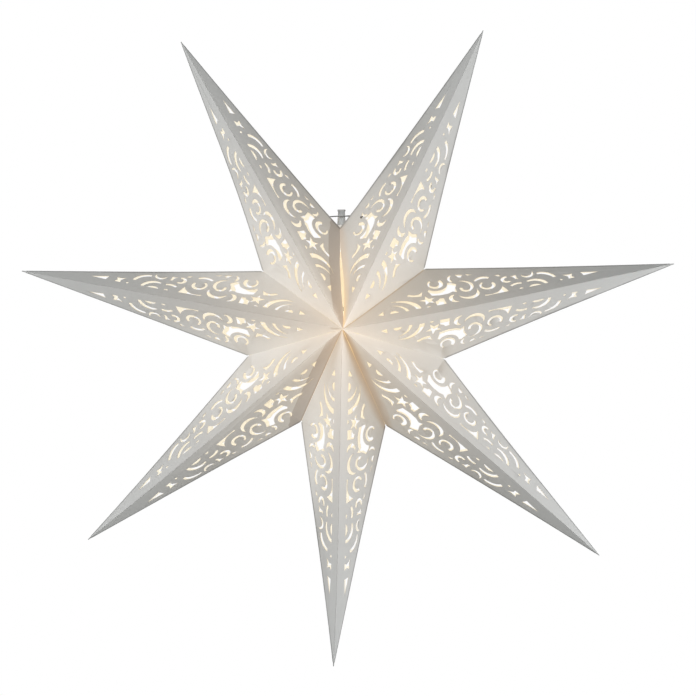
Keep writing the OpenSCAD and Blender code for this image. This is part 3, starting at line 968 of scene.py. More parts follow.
@dataclass(frozen=True)
class CardOutside:
    """Outer face of the white card, with the light of the lamp coming through it.

    Args:
        white: Colour of the card.
        fold: Shade along the outer folds.
        fold_width: Distances from such a fold between which that shade ends, in metres.
        ridge: Painted highlight along the ridge, as a factor that lightens the card there.
        ridge_width: Width of that painted highlight, in metres.
        glow: Light through the card at the centre.
        far_glow: Light through the card far from it.
        reach: Distance in which that light falls to a third, in metres.
        lap_near: Shade of the card where a second layer lies under it, at the centre.
        lap_far: The same far from the centre.
        lap_edge: Shares of that layer's width between which the shade ends.
        seam_shade: Shade of the card at a seam.
        leak_shade: Shade of the card at an open seam.
        leak: Light from an open seam on the card beside it.
        seam: Light in the seam itself, by the centre.
        seam_width: Shares of the shade's width between which that light ends.
        short_reach: Distance in which the doubled card's shade and the seams' light
            change, in metres.
        lift: Light of one side of a valley on the other.
        lift_corner: Share of the corner at which that light is full.
        lift_tip: Shares of the tip between which it ends.
        dim: What is left of all light at an outer fold.
        dim_width: Width of the strip that is dimmed, in metres.
        gloss: Strength of its gloss.
        mottle: How fine its slow and its fine unevenness is, and its depth.
        cloud: The same for the light through it.
    """

    white: tuple[float, float, float] = (0.60, 0.605, 0.605)
    fold: float = 0.64
    fold_width: tuple[float, float] = (0.2 * MM, 1.3 * MM)
    ridge: float = 1.05
    ridge_width: float = 0.7 * MM
    glow: tuple[float, float, float] = (0.44, 0.335, 0.225)
    far_glow: tuple[float, float, float] = (0.0, 0.008, 0.006)
    reach: float = 0.097
    lap_near: tuple[float, float, float] = (0.93, 0.88, 0.85)
    lap_far: tuple[float, float, float] = (0.70, 0.655, 0.62)
    lap_edge: tuple[float, float] = (0.93, 1.03)
    seam_shade: tuple[float, float, float] = (0.80, 0.67, 0.53)
    leak_shade: tuple[float, float, float] = (0.88, 0.80, 0.75)
    leak: tuple[float, float, float] = (0.50, 0.30, 0.05)
    seam: tuple[float, float, float] = (0.42, 0.33, 0.14)
    seam_width: tuple[float, float] = (0.04, 0.12)
    short_reach: float = 0.045
    lift: tuple[float, float, float] = (0.98, 1.0, 1.0)
    lift_corner: float = 0.68
    lift_tip: tuple[float, float] = (0.15, 0.5)
    dim: float = 0.5
    dim_width: float = 2.0 * MM
    gloss: float = 0.25
    mottle: tuple[float, float, float] = (45.0, 800.0, 0.025)
    cloud: tuple[float, float, float] = (110.0, 420.0, 0.05)

    def dress(self, effects: Effects) -> bpy.types.Material:
        """Builds the material.

        Args:
            effects: Node groups that it places.

        Returns:
            The material.
        """
        finish = Finish("card_outside", effects)
        nodes = finish.nodes
        tone = self.tone(finish)
        # Painted light: painted shade along the outer folds times a painted highlight along the
        # ridge.
        worn = nodes.math(
            "MULTIPLY",
            nodes.ramp(nodes.read("from_edge"), *self.fold_width, self.fold, 1.0),
            nodes.ramp(nodes.read("from_ridge"), 0.0, self.ridge_width, self.ridge, 1.0),
        )
        shade = nodes.math("MULTIPLY", worn, finish.mottle(*self.mottle))
        finish.feed("Base Color", nodes.scaled(nodes.times(tone, self.white), shade))
        finish.set("Specular IOR Level", self.gloss)
        finish.shine(self.light(finish, tone))
        finish.press()
        return finish.material

    def tone(self, finish: Finish) -> bpy.types.NodeSocket:
        """Works out the shade that doubled card and seams give.

        Args:
            finish: The material in the making.

        Returns:
            The shade as a colour.
        """
        nodes = finish.nodes
        single = nodes.ramp(nodes.read("over_lap"), *self.lap_edge)
        tone = nodes.mix(
            single, finish.glow(self.lap_near, self.lap_far, self.short_reach), WHITE
        )
        for name, shade in (("over_shade", self.seam_shade), ("over_leak", self.leak_shade)):
            share = nodes.ramp(nodes.read(name), 0.0, 1.0)
            tone = nodes.times(tone, nodes.mix(share, rgba(shade), WHITE))
        return tone

    def light(self, finish: Finish, tone: bpy.types.NodeSocket) -> bpy.types.NodeSocket:
        """Works out the light that the card gives.

        Args:
            finish: The material in the making.
            tone: The shade that doubled card and seams give.

        Returns:
            The light as a colour.
        """
        nodes = finish.nodes
        light = nodes.times(finish.glow(self.glow, self.far_glow, self.reach), tone)
        leaking = nodes.ramp(nodes.read("over_leak"), 0.0, 1.0, 1.0, 0.0)
        in_seam = nodes.ramp(nodes.read("over_shade"), *self.seam_width, 1.0, 0.0)
        for colour, share in ((self.leak, leaking), (self.seam, in_seam)):
            extra = finish.glow(colour, (0, 0, 0), self.short_reach)
            light = nodes.plus(light, nodes.scaled(extra, share))
        across = nodes.math(
            "MULTIPLY",
            nodes.ramp(nodes.read("by_corner"), 0.0, self.lift_corner),
            nodes.ramp(nodes.read("by_tip"), *self.lift_tip, 1.0, 0.0),
        )
        across = nodes.math("MULTIPLY", across, nodes.read("lift"))
        light = nodes.plus(light, nodes.scaled(self.lift, across))
        light = nodes.scaled(light, finish.mottle(*self.cloud))
        edge = nodes.ramp(nodes.read("from_edge"), 0.0, self.dim_width, self.dim, 1.0)
        return nodes.scaled(light, edge)


@dataclass(frozen=True)
class LitCard:
    """Card that the lamp lights directly or from its cut edge.

    Args:
        name: Name of the finish.
        white: Colour of the card.
        glow_near: Light on it at the centre.
        glow_far: Light on it far from the centre.
        reach: Distance in which the first one falls to a third, in metres.
        mottle: How fine its slow and its fine unevenness is, and its depth.
        pressed: Whether it is a face of the card, and not its cut edge.
    """

    name: str
    white: tuple[float, float, float]
    glow_near: tuple[float, float, float]
    glow_far: tuple[float, float, float]
    reach: float
    mottle: tuple[float, float, float]
    pressed: bool

    def dress(self, effects: Effects) -> bpy.types.Material:
        """Builds the material.

        Args:
            effects: Node groups that it places.

        Returns:
            The material.
        """
        finish = Finish(self.name, effects)
        uneven = finish.mottle(*self.mottle)
        finish.feed("Base Color", finish.nodes.scaled(self.white, uneven))
        glow = finish.glow(self.glow_near, self.glow_far, self.reach)
        finish.shine(finish.nodes.scaled(glow, uneven))
        if self.pressed:
            finish.press()
        else:
            finish.roughen(CUT_CARD)
        return finish.material


@dataclass(frozen=True)
class Moulding:
    """Moulded plastic, ceramic or rubber, and glass.

    Args:
        name: Name of the finish.
        colour: Its colour.
        smooth: Roughness where it is clean.
        worn: Roughness where it has been handled.
        clear: How much light goes through it.
        coat: Glaze over it.
        depth: Depth of its fine texture in metres, or 0 for none.
        light: Light that it gives, or that the lamp throws on it inside the star.
        mottle: How fine its slow and its fine unevenness is.
    """

    name: str
    colour: tuple[float, float, float]
    smooth: float = 0.3
    worn: float = 0.42
    clear: float = 0.0
    coat: float = 0.0
    depth: float = 0.012 * MM
    light: tuple[float, float, float] = (0.0, 0.0, 0.0)
    mottle: tuple[float, float] = (150.0, 1800.0)

    def dress(self, effects: Effects) -> bpy.types.Material:
        """Builds the material.

        Args:
            effects: Node groups that it places.

        Returns:
            The material.
        """
        finish = Finish(self.name, effects)
        uneven = finish.mottle(*self.mottle, 0.03)
        finish.feed("Base Color", finish.nodes.scaled(self.colour, uneven))
        pits = finish.handle(self.smooth, self.worn)
        finish.set("Transmission Weight", self.clear)
        finish.set("Coat Weight", self.coat)
        finish.shine(finish.nodes.scaled(self.light, uneven))
        if self.depth:
            finish.bump(pits, self.depth)
        return finish.material


@dataclass(frozen=True)
class Metal:
    """Drawn, pressed or plated metal.

    Args:
        name: Name of the finish.
        colour: Its colour.
        tarnish: Its colour where it has dulled.
        smooth: Roughness where it is bright.
        worn: Roughness where it has dulled.
    """

    name: str
    colour: tuple[float, float, float]
    tarnish: tuple[float, float, float]
    smooth: float = 0.22
    worn: float = 0.45

    def dress(self, effects: Effects) -> bpy.types.Material:
        """Builds the material.

        Args:
            effects: Node groups that it places.

        Returns:
            The material.
        """
        finish = Finish(self.name, effects)
        nodes = finish.nodes
        dull = nodes.ramp(nodes.noise(finish.spot, 220.0, 5.0), 0.45, 0.75)
        finish.feed("Base Color", nodes.mix(dull, rgba(self.colour), rgba(self.tarnish)))
        finish.set("Metallic", 1.0)
        finish.bump(finish.handle(self.smooth, self.worn), METAL_RELIEF)
        return finish.material


def glass(
    name: str,
    colour: tuple[float, float, float],
    smooth: float,
    clear: float,
    light: tuple[float, float, float] = (0.0, 0.0, 0.0),
) -> Moulding:
    """Finish of a piece of glass.

    Args:
        name: Name of the finish.
        colour: Its colour.
        smooth: Its roughness.
        clear: How much light goes through it.
        light: Light that it gives.

    Returns:
        The finish.
    """
    return Moulding(
        name,
        colour,
        smooth=smooth,
        worn=smooth + 0.08,
        clear=clear,
        depth=0.0,
        light=light,
        mottle=(60.0, 900.0),
    )


CARD_OUTSIDE = CardOutside()
CARD_INSIDE = LitCard(
    name="card_inside",
    white=(0.62, 0.61, 0.58),
    glow_near=(0.44, 0.35, 0.20),
    glow_far=(0.42, 0.41, 0.37),
    reach=0.12,
    mottle=(45.0, 800.0, 0.03),
    pressed=True,
)
# The cut edge's warm colour, yellower than the card's, is painted lamp light through the edge.
CARD_EDGE = LitCard(
    name="card_edge",
    white=(0.60, 0.56, 0.49),
    glow_near=(0.50, 0.40, 0.24),
    glow_far=(0.20, 0.18, 0.15),
    reach=0.11,
    mottle=(300.0, 2500.0, 0.08),
    pressed=False,
)
INNER_LIGHT = (0.30, 0.20, 0.09)
LEAD_LIGHT = (0.42, 0.42, 0.41)
WHITE_PLASTIC = Moulding("white_plastic", (0.78, 0.775, 0.75), 0.28, 0.4, light=INNER_LIGHT)
CLEAR_PLASTIC = Moulding("clear_plastic", (0.80, 0.81, 0.81), 0.12, 0.25, clear=0.7)
LEAD_SHEATH = Moulding(
    "lead_sheath", (0.80, 0.80, 0.785), 0.42, 0.55, depth=0.02 * MM, light=LEAD_LIGHT
)
BROWN_CORE = Moulding("brown_core", (0.16, 0.065, 0.03), 0.4, 0.5)
BLUE_CORE = Moulding("blue_core", (0.035, 0.10, 0.38), 0.4, 0.5)
NYLON = Moulding("natural_nylon", (0.72, 0.71, 0.66), 0.35, 0.5)
CERAMIC = Moulding("glazed_ceramic", (0.76, 0.74, 0.69), 0.18, 0.35, coat=0.6)
BLACK_GLASS = Moulding("black_glass", (0.012, 0.012, 0.014), 0.08, 0.2, coat=0.3)
BRASS = Metal("bright_brass", (0.70, 0.50, 0.20), (0.46, 0.30, 0.12))
STEEL_WIRE = Metal("steel_wire", (0.07, 0.067, 0.062), (0.04, 0.038, 0.035), 0.35, 0.55)
PLATED = Metal("nickel_plated", (0.62, 0.61, 0.58), (0.45, 0.44, 0.42))
SOLDER = Metal("soft_solder", (0.55, 0.55, 0.54), (0.38, 0.38, 0.38), 0.35, 0.6)
FROSTED = glass("frosted_glass", (0.80, 0.79, 0.76), 0.5, 0.12, (0.50, 0.40, 0.26))
STEM_GLASS = glass("stem_glass", (0.85, 0.86, 0.86), 0.05, 0.85)
FILAMENT = glass("filament_coating", (0.85, 0.62, 0.18), 0.5, 0.0, (1.0, 0.78, 0.35))


def select_only(piece: bpy.types.Object) -> None:
    """Leaves one object selected and active."""
    bpy.ops.object.select_all(action="DESELECT")
    piece.select_set(True)
    bpy.context.view_layer.objects.active = piece


def copy_of(node: str, name: str) -> bpy.types.Object:
    """Copies a CAD node as a new piece with its doubles merged.

    Args:
        node: Name of the node.
        name: Name of the new piece.

    Returns:
        The piece, riding on nothing yet.
    """
    piece = bpy.data.objects.new(name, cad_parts[node].data.copy())
    bpy.context.scene.collection.objects.link(piece)
    piece.data.materials.clear()
    select_only(piece)
    bpy.ops.object.mode_set(mode="EDIT")
    bpy.ops.mesh.select_all(action="SELECT")
    bpy.ops.mesh.remove_doubles(threshold=WELD)
    bpy.ops.object.mode_set(mode="OBJECT")
    return piece


def cut(place: tuple | Vector, normal: tuple | Vector, threshold: float = WELD) -> None:
    """Cuts the mesh in edit mode along a plane, keeping both halves.

    Args:
        place: A point of the plane.
        normal: Its normal.
        threshold: Distance within which a point counts as lying on it, in metres.
    """
    bpy.ops.mesh.select_all(action="SELECT")
    bpy.ops.mesh.bisect(plane_co=place, plane_no=normal, use_fill=False, threshold=threshold)


def read_all(items: bpy.types.bpy_prop_collection, name: str) -> np.ndarray:
    """Reads a vector from each vertex or face of a mesh.

    Args:
        items: The vertices or faces.
        name: Blender's name of the vector.

    Returns:
        The vectors, one a row.
    """
    flat = np.zeros(3 * len(items), np.float32)
    items.foreach_get(name, flat)
    return flat.reshape(-1, 3).astype(float)


def move_points(piece: bpy.types.Object, points: np.ndarray) -> None:
    """Puts the points of a piece's mesh elsewhere."""
    piece.data.vertices.foreach_set("co", points.astype(np.float32).ravel())
    piece.data.update()


def finish_mesh(
    piece: bpy.types.Object, materials: list[bpy.types.Material], crease: float
) -> None:
    """Gives a built piece its materials and smooths its shading.

    Args:
        piece: The piece.
        materials: Its materials in order.
        crease: Angle past which an edge stays sharp, in degrees.
    """
    for material in materials:
        piece.data.materials.append(material)
    select_only(piece)
    bpy.ops.object.shade_smooth_by_angle(angle=math.radians(crease))
    LOG.info("%s: %d faces", piece.name, len(piece.data.polygons))


@dataclass
class CardPoint:
    """One folded point of the star, cut from one blank.

    Args:
        index: Number of the point.
        field: How the card lies and bends.
        step: Distance between the cuts that let it bend, in metres.
        weld: Distance within which a point counts as lying on a cut, in metres.
        crease: Angle past which an edge stays sharp, in degrees.
        fold_keep: Share of its depth that is left when it is folded flat.
        facing: How far a face turns to the panel's normal to count as its face.
        edge_band: Distance from an outer fold up to which faces belong to it, in metres.
        edge_depth: Depth from the middle plane up to which they do, in metres.
        ridge_band: Height over the flat panels from which faces are the ridge's, in metres.
        tip_from: Share of the tip from which all faces belong to the outside.
    """

    index: int
    field: CardField
    step: float = 14 * MM
    weld: float = 0.01 * MM
    crease: float = 28.0
    fold_keep: float = 0.024
    facing: float = 0.5
    edge_band: float = 0.5 * MM
    edge_depth: float = 0.6 * MM
    ridge_band: float = 0.32 * MM
    tip_from: float = 0.975

    @property
    def shape(self) -> StarShape:
        """Sizes of the star."""
        return self.field.shape

    @property
    def name(self) -> str:
        """Name of the point."""
        return self.shape.points[self.index].name

    @property
    def body(self) -> str:
        """Body that the point rides on."""
        return "star" if self.name == "bottom" else f"{self.name}_point"

    @property
    def joint(self) -> str:
        """Joint that folds the point."""
        return "fold_top_right" if self.name == "bottom" else f"fold_{self.name}"

    def directions(self) -> tuple[Vector, Vector]:
        """Finds the point's own directions in the star's middle plane.

        Returns:
            The directions along and across it.
        """
        angle = math.radians(self.shape.points[self.index].angle)
        along = Vector((math.cos(angle), 0, math.sin(angle)))
        return along, Vector((-along.z, 0, along.x))

    def make(self, materials: list[bpy.types.Material]) -> bpy.types.Object:
        """Builds the point: a copy of its solid, cut finely enough to bend, then bent.

        Args:
            materials: Finishes of its outside, its inside and its cut edges.

        Returns:
            The piece.
        """
        piece = copy_of(f"point_{self.name}", f"card_point_{self.name}")
        along, across = self.directions()
        centre = self.shape.centre
        bpy.ops.object.mode_set(mode="EDIT")
        reach = self.step
        while reach < self.shape.radius - self.step / 2:
            cut(centre + along * reach, along, self.weld)
            reach += self.step
        for turn in (-2, -1, 1, 2):
            cut(centre + across * turn * self.step, across, self.weld)
        bpy.ops.object.mode_set(mode="OBJECT")
        self.mark(piece)
        move_points(piece, self.field.bent(read_all(piece.data.vertices, "co")))
        finish_mesh(piece, materials, self.crease)
        return piece

    def mark(self, piece: bpy.types.Object) -> None:
        """Sorts the faces into outside, inside and cut edge, and notes how far each corner
        of a face lies from its folds.

        Args:
            piece: The flat-sided piece.
        """
        mesh = piece.data
        centres = read_all(mesh.polygons, "center")
        normals = read_all(mesh.polygons, "normal")
        number, _, _ = self.field.shares(centres)
        outward = np.zeros_like(normals)
        for key, panel in enumerate(self.field.panels()):
            for face in Face:
                ridge, valley = panel.arms(face)
                normal = ridge.cross(valley).normalized()
                if normal.y * face.value < 0:
                    normal.negate()
                toward = (centres[:, 1] - self.shape.centre.y) * face.value > 0
                outward[(number == key) & toward] = normal
        facing = (normals * outward).sum(axis=1)
        part = np.full(len(centres), CardPart.EDGE.value)
        part[facing > self.facing] = CardPart.OUTSIDE.value
        part[facing < -self.facing] = CardPart.INSIDE.value
        part[self.rounded(centres)] = CardPart.OUTSIDE.value
        mesh.polygons.foreach_set("material_index", part.astype(np.int32))
        self.measure(mesh, number)

    def rounded(self, centres: np.ndarray) -> np.ndarray:
        """Tells which faces belong to the pressed folds and the pinched tip.

        Args:
            centres: Middles of the faces, one a row.

        Returns:
            True for each face that does.
        """
        _, tip_share, corner_share = self.field.shares(centres)
        rest = 1 - tip_share - corner_share
        depth = np.abs(centres[:, 1] - self.shape.centre.y)
        on_edge = np.abs(rest) * self.shape.valley_radius < self.edge_band
        on_ridge = depth > self.shape.half_depth * rest + self.ridge_band
        return (on_edge & (depth < self.edge_depth)) | on_ridge | (tip_share > self.tip_from)

    def measure(self, mesh: bpy.types.Mesh, number: np.ndarray) -> None:
        """Writes each face corner's distance from its ridge and outer edge, and its share
        of the way over the strip and over the light beside its valley.

        Args:
            mesh: The point's mesh.
            number: Panel that each face lies in.
        """
        _, tip_share, corner_share = self.field.shares(read_all(mesh.vertices, "co"))
        loops = np.zeros(len(mesh.loops), np.int32)
        mesh.loops.foreach_get("vertex_index", loops)
        totals = np.zeros(len(mesh.polygons), np.int32)
        mesh.polygons.foreach_get("loop_total", totals)
        face_number = np.repeat(number, totals)
        panels = self.field.panels()
        heights = np.array([panel.heights() for panel in panels])[face_number]
        rest = 1 - tip_share - corner_share
        past = 9.0
        valley = np.abs(tip_share[loops]) * heights[:, 0]

        def sides(name: str) -> np.ndarray:
            """Reads a value that each side of a point has.

            Args:
                name: Name of the value.

            Returns:
                The value for each face corner.
            """
            each = [getattr(panel.point, name)[panel.side is Side.COUNTER] for panel in panels]
            return np.array(each)[face_number]

        def over(name: str) -> np.ndarray:
            """Measures the way over a strip beside the valley.

            Args:
                name: Name of the strip's width.

            Returns:
                The share of the way for each face corner, far past 1 where no strip is.
            """
            width = sides(name) * MM
            return np.where(width > 0, valley / np.maximum(width, MM), past)

        values = {
            "over_lap": over("laps"),
            "over_shade": over("shades"),
            "over_leak": over("leaks"),
            "lift": sides("lifts"),
            "by_corner": corner_share[loops],
            "by_tip": tip_share[loops],
            "from_ridge": np.abs(corner_share[loops]) * heights[:, 1],
            "from_edge": np.abs(rest[loops]) * heights[:, 2],
        }
        for name, numbers in values.items():
            attribute = mesh.attributes.new(name, "FLOAT", "CORNER")
            attribute.data.foreach_set("value", numbers.astype(np.float32))

    def attach(self, piece: bpy.types.Object) -> None:
        """Makes the point ride on its body and stand for its solid.

        Args:
            piece: The finished piece.
        """
        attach(piece, self.body)
        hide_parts(f"point_{self.name}")
        _, across = self.directions()
        self.joint
        tuple(self.shape.centre)
        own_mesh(piece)


@dataclass
class Star:
    """The seven points.

    Args:
        effects: Node groups that the finishes place.
        field: How the card lies and bends.
    """

    effects: Effects
    field: CardField

    def build(self) -> None:
        """Builds, dresses and attaches each point."""
        kinds = (CARD_OUTSIDE, CARD_INSIDE, CARD_EDGE)
        materials = [kind.dress(self.effects) for kind in kinds]
        for index in range(len(self.field.shape.points)):
            point = CardPoint(index, self.field)
            point.attach(point.make(materials))


@dataclass(frozen=True)
class Ripple:
    """Solid of revolution whose wall is pressed into a thread or ribs.

    Args:
        node: Solid that the piece stands for.
        name: Name of the piece.
        body: Body that it rides on.
        slot: Its material slot.
        top: Where the pressing starts, in metres.
        base: Where it ends, in metres.
        height: Height of the thread or ribs, in metres.
        pitch: Rise of the thread a turn, in metres, or 0 for upright ribs.
        ribs: Number of upright ribs.
        wall: Radius past which the wall is pressed, in metres.
        step: Height of its rings, in metres.
        run_out: Length in which the pressing starts and ends, in metres.
    """

    node: str
    name: str
    body: str
    slot: str
    top: float
    base: float
    height: float
    pitch: float = 0.0
    ribs: int = 0
    wall: float = 0.0
    step: float = 0.4 * MM
    run_out: float = 0.8 * MM

    def make(self, material: bpy.types.Material) -> None:
        """Builds the piece from a copy of its solid.

        Args:
            material: Its finish.
        """
        piece = copy_of(self.node, self.name)
        bpy.ops.object.mode_set(mode="EDIT")
        for k in range(round((self.top - self.base) / self.step) + 1):
            cut((0, 0, self.top - k * self.step), (0, 0, 1))
        bpy.ops.object.mode_set(mode="OBJECT")
        points = read_all(piece.data.vertices, "co")
        radius = np.hypot(points[:, 0], points[:, 1])
        turn = np.arctan2(points[:, 1], points[:, 0])
        level = points[:, 2]
        if self.pitch:
            wave = np.cos(2 * math.pi * level / self.pitch - turn)
        else:
            wave = np.cos(self.ribs * turn)
        window = smooth_step(self.base, self.base + self.run_out, level)
        window *= 1 - smooth_step(self.top - self.run_out, self.top, level)
        window *= radius > self.wall
        rise = self.height * 0.5 * (1 + wave) * window
        points[:, :2] *= (1 + rise / np.maximum(radius, MM))[:, None]
        move_points(piece, points)
        finish_mesh(piece, [material], TURNED_CREASE)
        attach(piece, self.body)
        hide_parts(self.node)


SCREW_PITCH = 2.82 * MM
RIPPLES = (
    Ripple(
        node="bulb_cap",
        name="threaded_bulb_cap",
        body="bulb",
        slot="plated_cap",
        top=-76.6 * MM,
        base=-89.4 * MM,
        height=0.45 * MM,
        pitch=SCREW_PITCH,
    ),
    Ripple(
        node="contact_shell",
        name="threaded_contact_shell",
        body="lamp",
        slot="brass",
        top=-70.2 * MM,
        base=-88.2 * MM,
        height=0.45 * MM,
        pitch=SCREW_PITCH,
        run_out=1.2 * MM,
    ),
    Ripple(
        node="holder_barrel",
        name="ribbed_holder_barrel",
        body="lamp",
        slot="white_plastic",
        top=-59.0 * MM,
        base=-90.0 * MM,
        height=-0.35 * MM,
        ribs=36,
        wall=13.0 * MM,
        step=1.0 * MM,
    ),
)


@dataclass(frozen=True)
class InnerLead:
    """The lead that hangs the lamp holder from the cord grip.

    Args:
        top: Height of its upper end, in metres.
        base: Height of its lower end, in metres.
        radius: Its radius, in metres.
        sides: Number of its sides.
        rings: Number of its rings.
        crease: Angle past which an edge stays sharp, in degrees.
    """

    top: float = -5.0 * MM
    base: float = -49.2 * MM
    radius: float = 2.5 * MM
    sides: int = 48
    rings: int = 22
    crease: float = 40.0

    def make(self, material: bpy.types.Material) -> None:
        """Builds the lead.

        Args:
            material: Its finish.
        """
        length = self.top - self.base
        bpy.ops.object.select_all(action="DESELECT")
        bpy.ops.mesh.primitive_cylinder_add(
            vertices=self.sides, radius=self.radius, depth=length, location=(0, 0, 0)
        )
        piece = bpy.context.object
        piece.name = "sheathed_lead"
        bpy.ops.object.mode_set(mode="EDIT")
        bpy.ops.mesh.select_all(action="SELECT")
        bpy.ops.transform.translate(value=(0, 0, (self.top + self.base) / 2))
        for k in range(1, self.rings):
            cut((0, 0, self.base + length * k / self.rings), (0, 0, 1))
        bpy.ops.object.mode_set(mode="OBJECT")
        finish_mesh(piece, [material], self.crease)
        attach(piece, "lamp")
        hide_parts("inner_lead")


@dataclass
class HangerWire:
    """The steel wire, bent to the card's holes as the real card has them.

    Args:
        field: How the card lies and bends.
        grip_reach: Distance from the grip's middle up to which it stays straight, in metres.
        card_reach: Distance from which it follows the card, in metres.
    """

    field: CardField
    grip_reach: float = 5.5 * MM
    card_reach: float = 10 * MM

    def make(self, material: bpy.types.Material) -> None:
        """Builds the wire from a copy of its solid.

        Args:
            material: Its finish.
        """
        piece = copy_of("hanger_wire", "bent_hanger_wire")
        points = read_all(piece.data.vertices, "co")
        moved = self.field.bent(points)
        share = smooth_step(self.grip_reach, self.card_reach, np.abs(points[:, 0]))[:, None]
        move_points(piece, points + (moved - points) * share)
        finish_mesh(piece, [material], TURNED_CREASE)
        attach(piece, "star")
        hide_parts("hanger_wire")


@dataclass
class Lamp:
    """The lamp inside the star and its hanger, each piece in its own finish.

    Args:
        effects: Node groups that the finishes place.
        field: How the card lies and bends.
        finishes: Finish of each solid that is shown as it is.
        made: Materials made so far, by the names of their finishes.
    """

    effects: Effects
    field: CardField
    finishes: dict[str, Moulding | Metal] = field(
        default_factory=lambda: {
            "cord_grip": CLEAR_PLASTIC,
            "live_core": BROWN_CORE,
            "neutral_core": BLUE_CORE,
            "holder_cap": WHITE_PLASTIC,
            "clamp_screw": NYLON,
            "holder_insert": CERAMIC,
            "live_terminal": BRASS,
            "neutral_terminal": BRASS,
            "terminal_screws": PLATED,
            "centre_contact": BRASS,
            "bulb_tip": SOLDER,
            "bulb_insulator": BLACK_GLASS,
            "bulb_globe": FROSTED,
            "bulb_stem": STEM_GLASS,
            "light_filaments": FILAMENT,
        }
    )
    made: dict[str, bpy.types.Material] = field(default_factory=dict)

    def finish(self, kind: Moulding | Metal) -> bpy.types.Material:
        """Makes the material of a finish once.

        Args:
            kind: The finish.

        Returns:
            The material.
        """
        if kind.name not in self.made:
            self.made[kind.name] = kind.dress(self.effects)
        return self.made[kind.name]

    def build(self) -> None:
        """Dresses each solid and builds the pieces that stand for some."""
        for node, kind in self.finishes.items():
            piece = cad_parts[node]
            piece.data.materials.clear()
            piece.data.materials.append(self.finish(kind))
            LOG.info("%s: %s", node, kind.name)
        for ripple, kind in zip(RIPPLES, (PLATED, BRASS, WHITE_PLASTIC)):
            ripple.make(self.finish(kind))
        InnerLead().make(self.finish(LEAD_SHEATH))
        HangerWire(self.field).make(self.finish(STEEL_WIRE))


@dataclass(frozen=True)
class SoftBox:
    """One soft lamp beside the star, a little in front of its plane.

    Args:
        name: Name of the lamp.
        angle: Its direction from the star's centre in degrees, from +X towards +Z.
        power: Its power, in watts.
        forward: How far in front of the star's plane it stands, in degrees.
        distance: Its distance from the star's centre, in metres.
        width: Side of its square face, in metres.
    """

    name: str
    angle: float
    power: float
    forward: float = 12.0
    distance: float = 1.1
    width: float = 0.45

    def place(self, centre: Vector) -> Vector:
        """Works out where it stands.

        Args:
            centre: The star's centre.

        Returns:
            Its place.
        """
        turn, lean = math.radians(self.angle), math.radians(self.forward)
        flat = math.cos(lean)
        return centre + self.distance * Vector(
            (flat * math.cos(turn), -math.sin(lean), flat * math.sin(turn))
        )


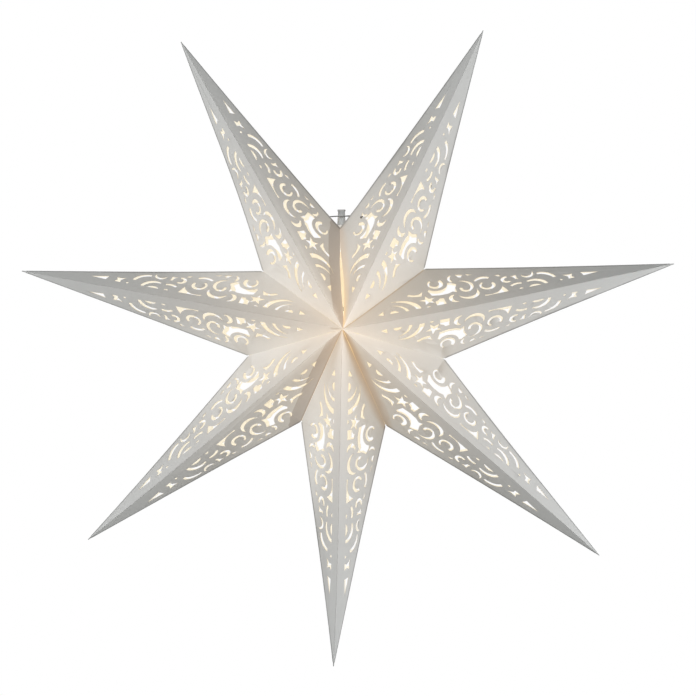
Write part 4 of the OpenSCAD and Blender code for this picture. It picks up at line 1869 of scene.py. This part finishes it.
@dataclass
class Studio:
    """Camera, soft boxes, white room and floor.

    Args:
        centre: What the soft boxes face.
        boxes: The soft boxes.
        room: Strength of the room's plain light.
        floor_level: Height of the floor, in metres.
        floor_colour: Its colour.
        floor_width: Its width, in metres.
        floor_lift: Light that it shows but doesn't give, so that it looks white.
        azimuth: Direction of the camera in degrees, to the right of straight in front.
        elevation: How far the camera is above the aim, in degrees.
        roll: How far it leans, in degrees.
        distance: Its distance from the aim, in metres.
        aim: What it looks at.
        focal: Its focal length, in pixels of the photograph.
        picture: Width of the photograph, in pixels.
        sensor: Width of its sensor, in millimetres.
    """

    centre: Vector
    boxes: tuple[SoftBox, ...] = (
        SoftBox("right", 0, 7.0),
        SoftBox("above", 90, 2.1),
        SoftBox("upper_left", 135, 1.7),
        SoftBox("left", 180, 5.0),
        SoftBox("lower_left", 225, 1.9),
        SoftBox("lower_right", 315, 2.2),
    )
    room: float = 0.14
    floor_level: float = -1.5
    floor_colour: tuple[float, float, float] = (0.80, 0.80, 0.79)
    floor_width: float = 8.0
    floor_lift: float = 0.93
    azimuth: float = 2.363
    elevation: float = -0.99
    roll: float = -0.013
    distance: float = 2.0
    aim: Vector = Vector((0.00619, 0, -0.13098))
    focal: float = 2113.5
    picture: float = 696.0
    sensor: float = 36.0

    def place_camera(self) -> None:
        """Puts the camera where the photograph was taken from."""
        turn, rise = math.radians(self.azimuth), math.radians(self.elevation)
        back = Vector(
            (math.sin(turn) * math.cos(rise), -math.cos(turn) * math.cos(rise), math.sin(rise))
        )
        data = bpy.data.cameras.new("view")
        data.sensor_width = self.sensor
        data.lens = self.focal * self.sensor / self.picture
        camera = bpy.data.objects.new("view", data)
        bpy.context.scene.collection.objects.link(camera)
        look = (-back).to_track_quat("-Z", "Y").to_matrix().to_4x4()
        roll = Matrix.Rotation(math.radians(self.roll), 4, "Z")
        camera.matrix_world = Matrix.Translation(self.aim + back * self.distance) @ look @ roll
        bpy.context.scene.camera = camera

    def seen(self, nodes: Nodes) -> bpy.types.NodeSocket:
        """Tells what is looked at from what only lights.

        Args:
            nodes: The nodes to add to.

        Returns:
            1 for what the camera, a reflection or clear glass sees, and 0 for light.
        """
        path = nodes.add("ShaderNodeLightPath")
        seen = nodes.math("MAXIMUM", path.outputs["Is Camera Ray"], path.outputs["Is Glossy Ray"])
        return nodes.math("MAXIMUM", seen, path.outputs["Is Transmission Ray"])

    def place_boxes(self) -> None:
        """Adds the soft boxes, each turned to the star."""
        for box in self.boxes:
            data = bpy.data.lights.new(f"soft_box_{box.name}", "AREA")
            data.size = box.width
            data.energy = box.power
            light = bpy.data.objects.new(f"soft_box_{box.name}", data)
            bpy.context.scene.collection.objects.link(light)
            place = box.place(self.centre)
            light.rotation_mode = "QUATERNION"
            light.rotation_quaternion = (place - self.centre).to_track_quat("Z", "Y")
            light.location = place
            light.visible_camera = False

    def paint_background(self) -> None:
        """Makes the world white to look at and a faint plain light."""
        world = bpy.data.worlds.new("studio")
        bpy.context.scene.world = world
        world.use_nodes = True
        nodes = Nodes(world.node_tree)
        out = nodes.add("ShaderNodeOutputWorld")
        background = nodes.add("ShaderNodeBackground")
        strength = nodes.math("MULTIPLY_ADD", self.seen(nodes), 1.0 - self.room, self.room)
        nodes.join(strength, background.inputs["Strength"])
        background.inputs["Color"].default_value = WHITE
        nodes.join(background.outputs[0], out.inputs["Surface"])

    def lay_floor(self) -> None:
        """Adds the pale floor, which keeps the star's shadow."""
        bpy.ops.object.select_all(action="DESELECT")
        bpy.ops.mesh.primitive_plane_add(size=self.floor_width, location=(0, 0, self.floor_level))
        floor = bpy.context.object
        floor.name = "studio_floor"
        material = bpy.data.materials.new("studio_floor")
        material.use_nodes = True
        nodes = Nodes(material.node_tree)
        out = nodes.add("ShaderNodeOutputMaterial")
        matt = nodes.add("ShaderNodeBsdfDiffuse")
        matt.inputs["Color"].default_value = rgba(self.floor_colour)
        lift = nodes.add("ShaderNodeEmission")
        nodes.join(
            nodes.math("MULTIPLY", self.seen(nodes), self.floor_lift), lift.inputs["Strength"]
        )
        both = nodes.add("ShaderNodeAddShader")
        nodes.join(matt.outputs[0], both.inputs[0])
        nodes.join(lift.outputs[0], both.inputs[1])
        below = nodes.add("ShaderNodeMixShader")
        facing = nodes.add("ShaderNodeNewGeometry")
        nodes.join(facing.outputs["Backfacing"], below.inputs[0])
        nodes.join(both.outputs[0], below.inputs[1])
        nodes.join(nodes.add("ShaderNodeBsdfTransparent").outputs[0], below.inputs[2])
        nodes.join(below.outputs[0], out.inputs["Surface"])
        floor.data.materials.append(material)

    def build(self) -> None:
        """Sets up the studio."""
        self.place_camera()
        self.place_boxes()
        self.paint_background()
        self.lay_floor()
        bpy.context.scene.view_settings.view_transform = "Standard"


def main() -> None:
    """Builds the lantern and the studio round it."""
    logging.basicConfig(level=logging.INFO, format="%(message)s")
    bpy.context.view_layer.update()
    shape = StarShape()
    Studio(shape.centre).build()
    effects = Effects()
    card = CardField(shape)
    Lamp(effects, card).build()
    Star(effects, card).build()


if __name__ == "__main__":
    main()
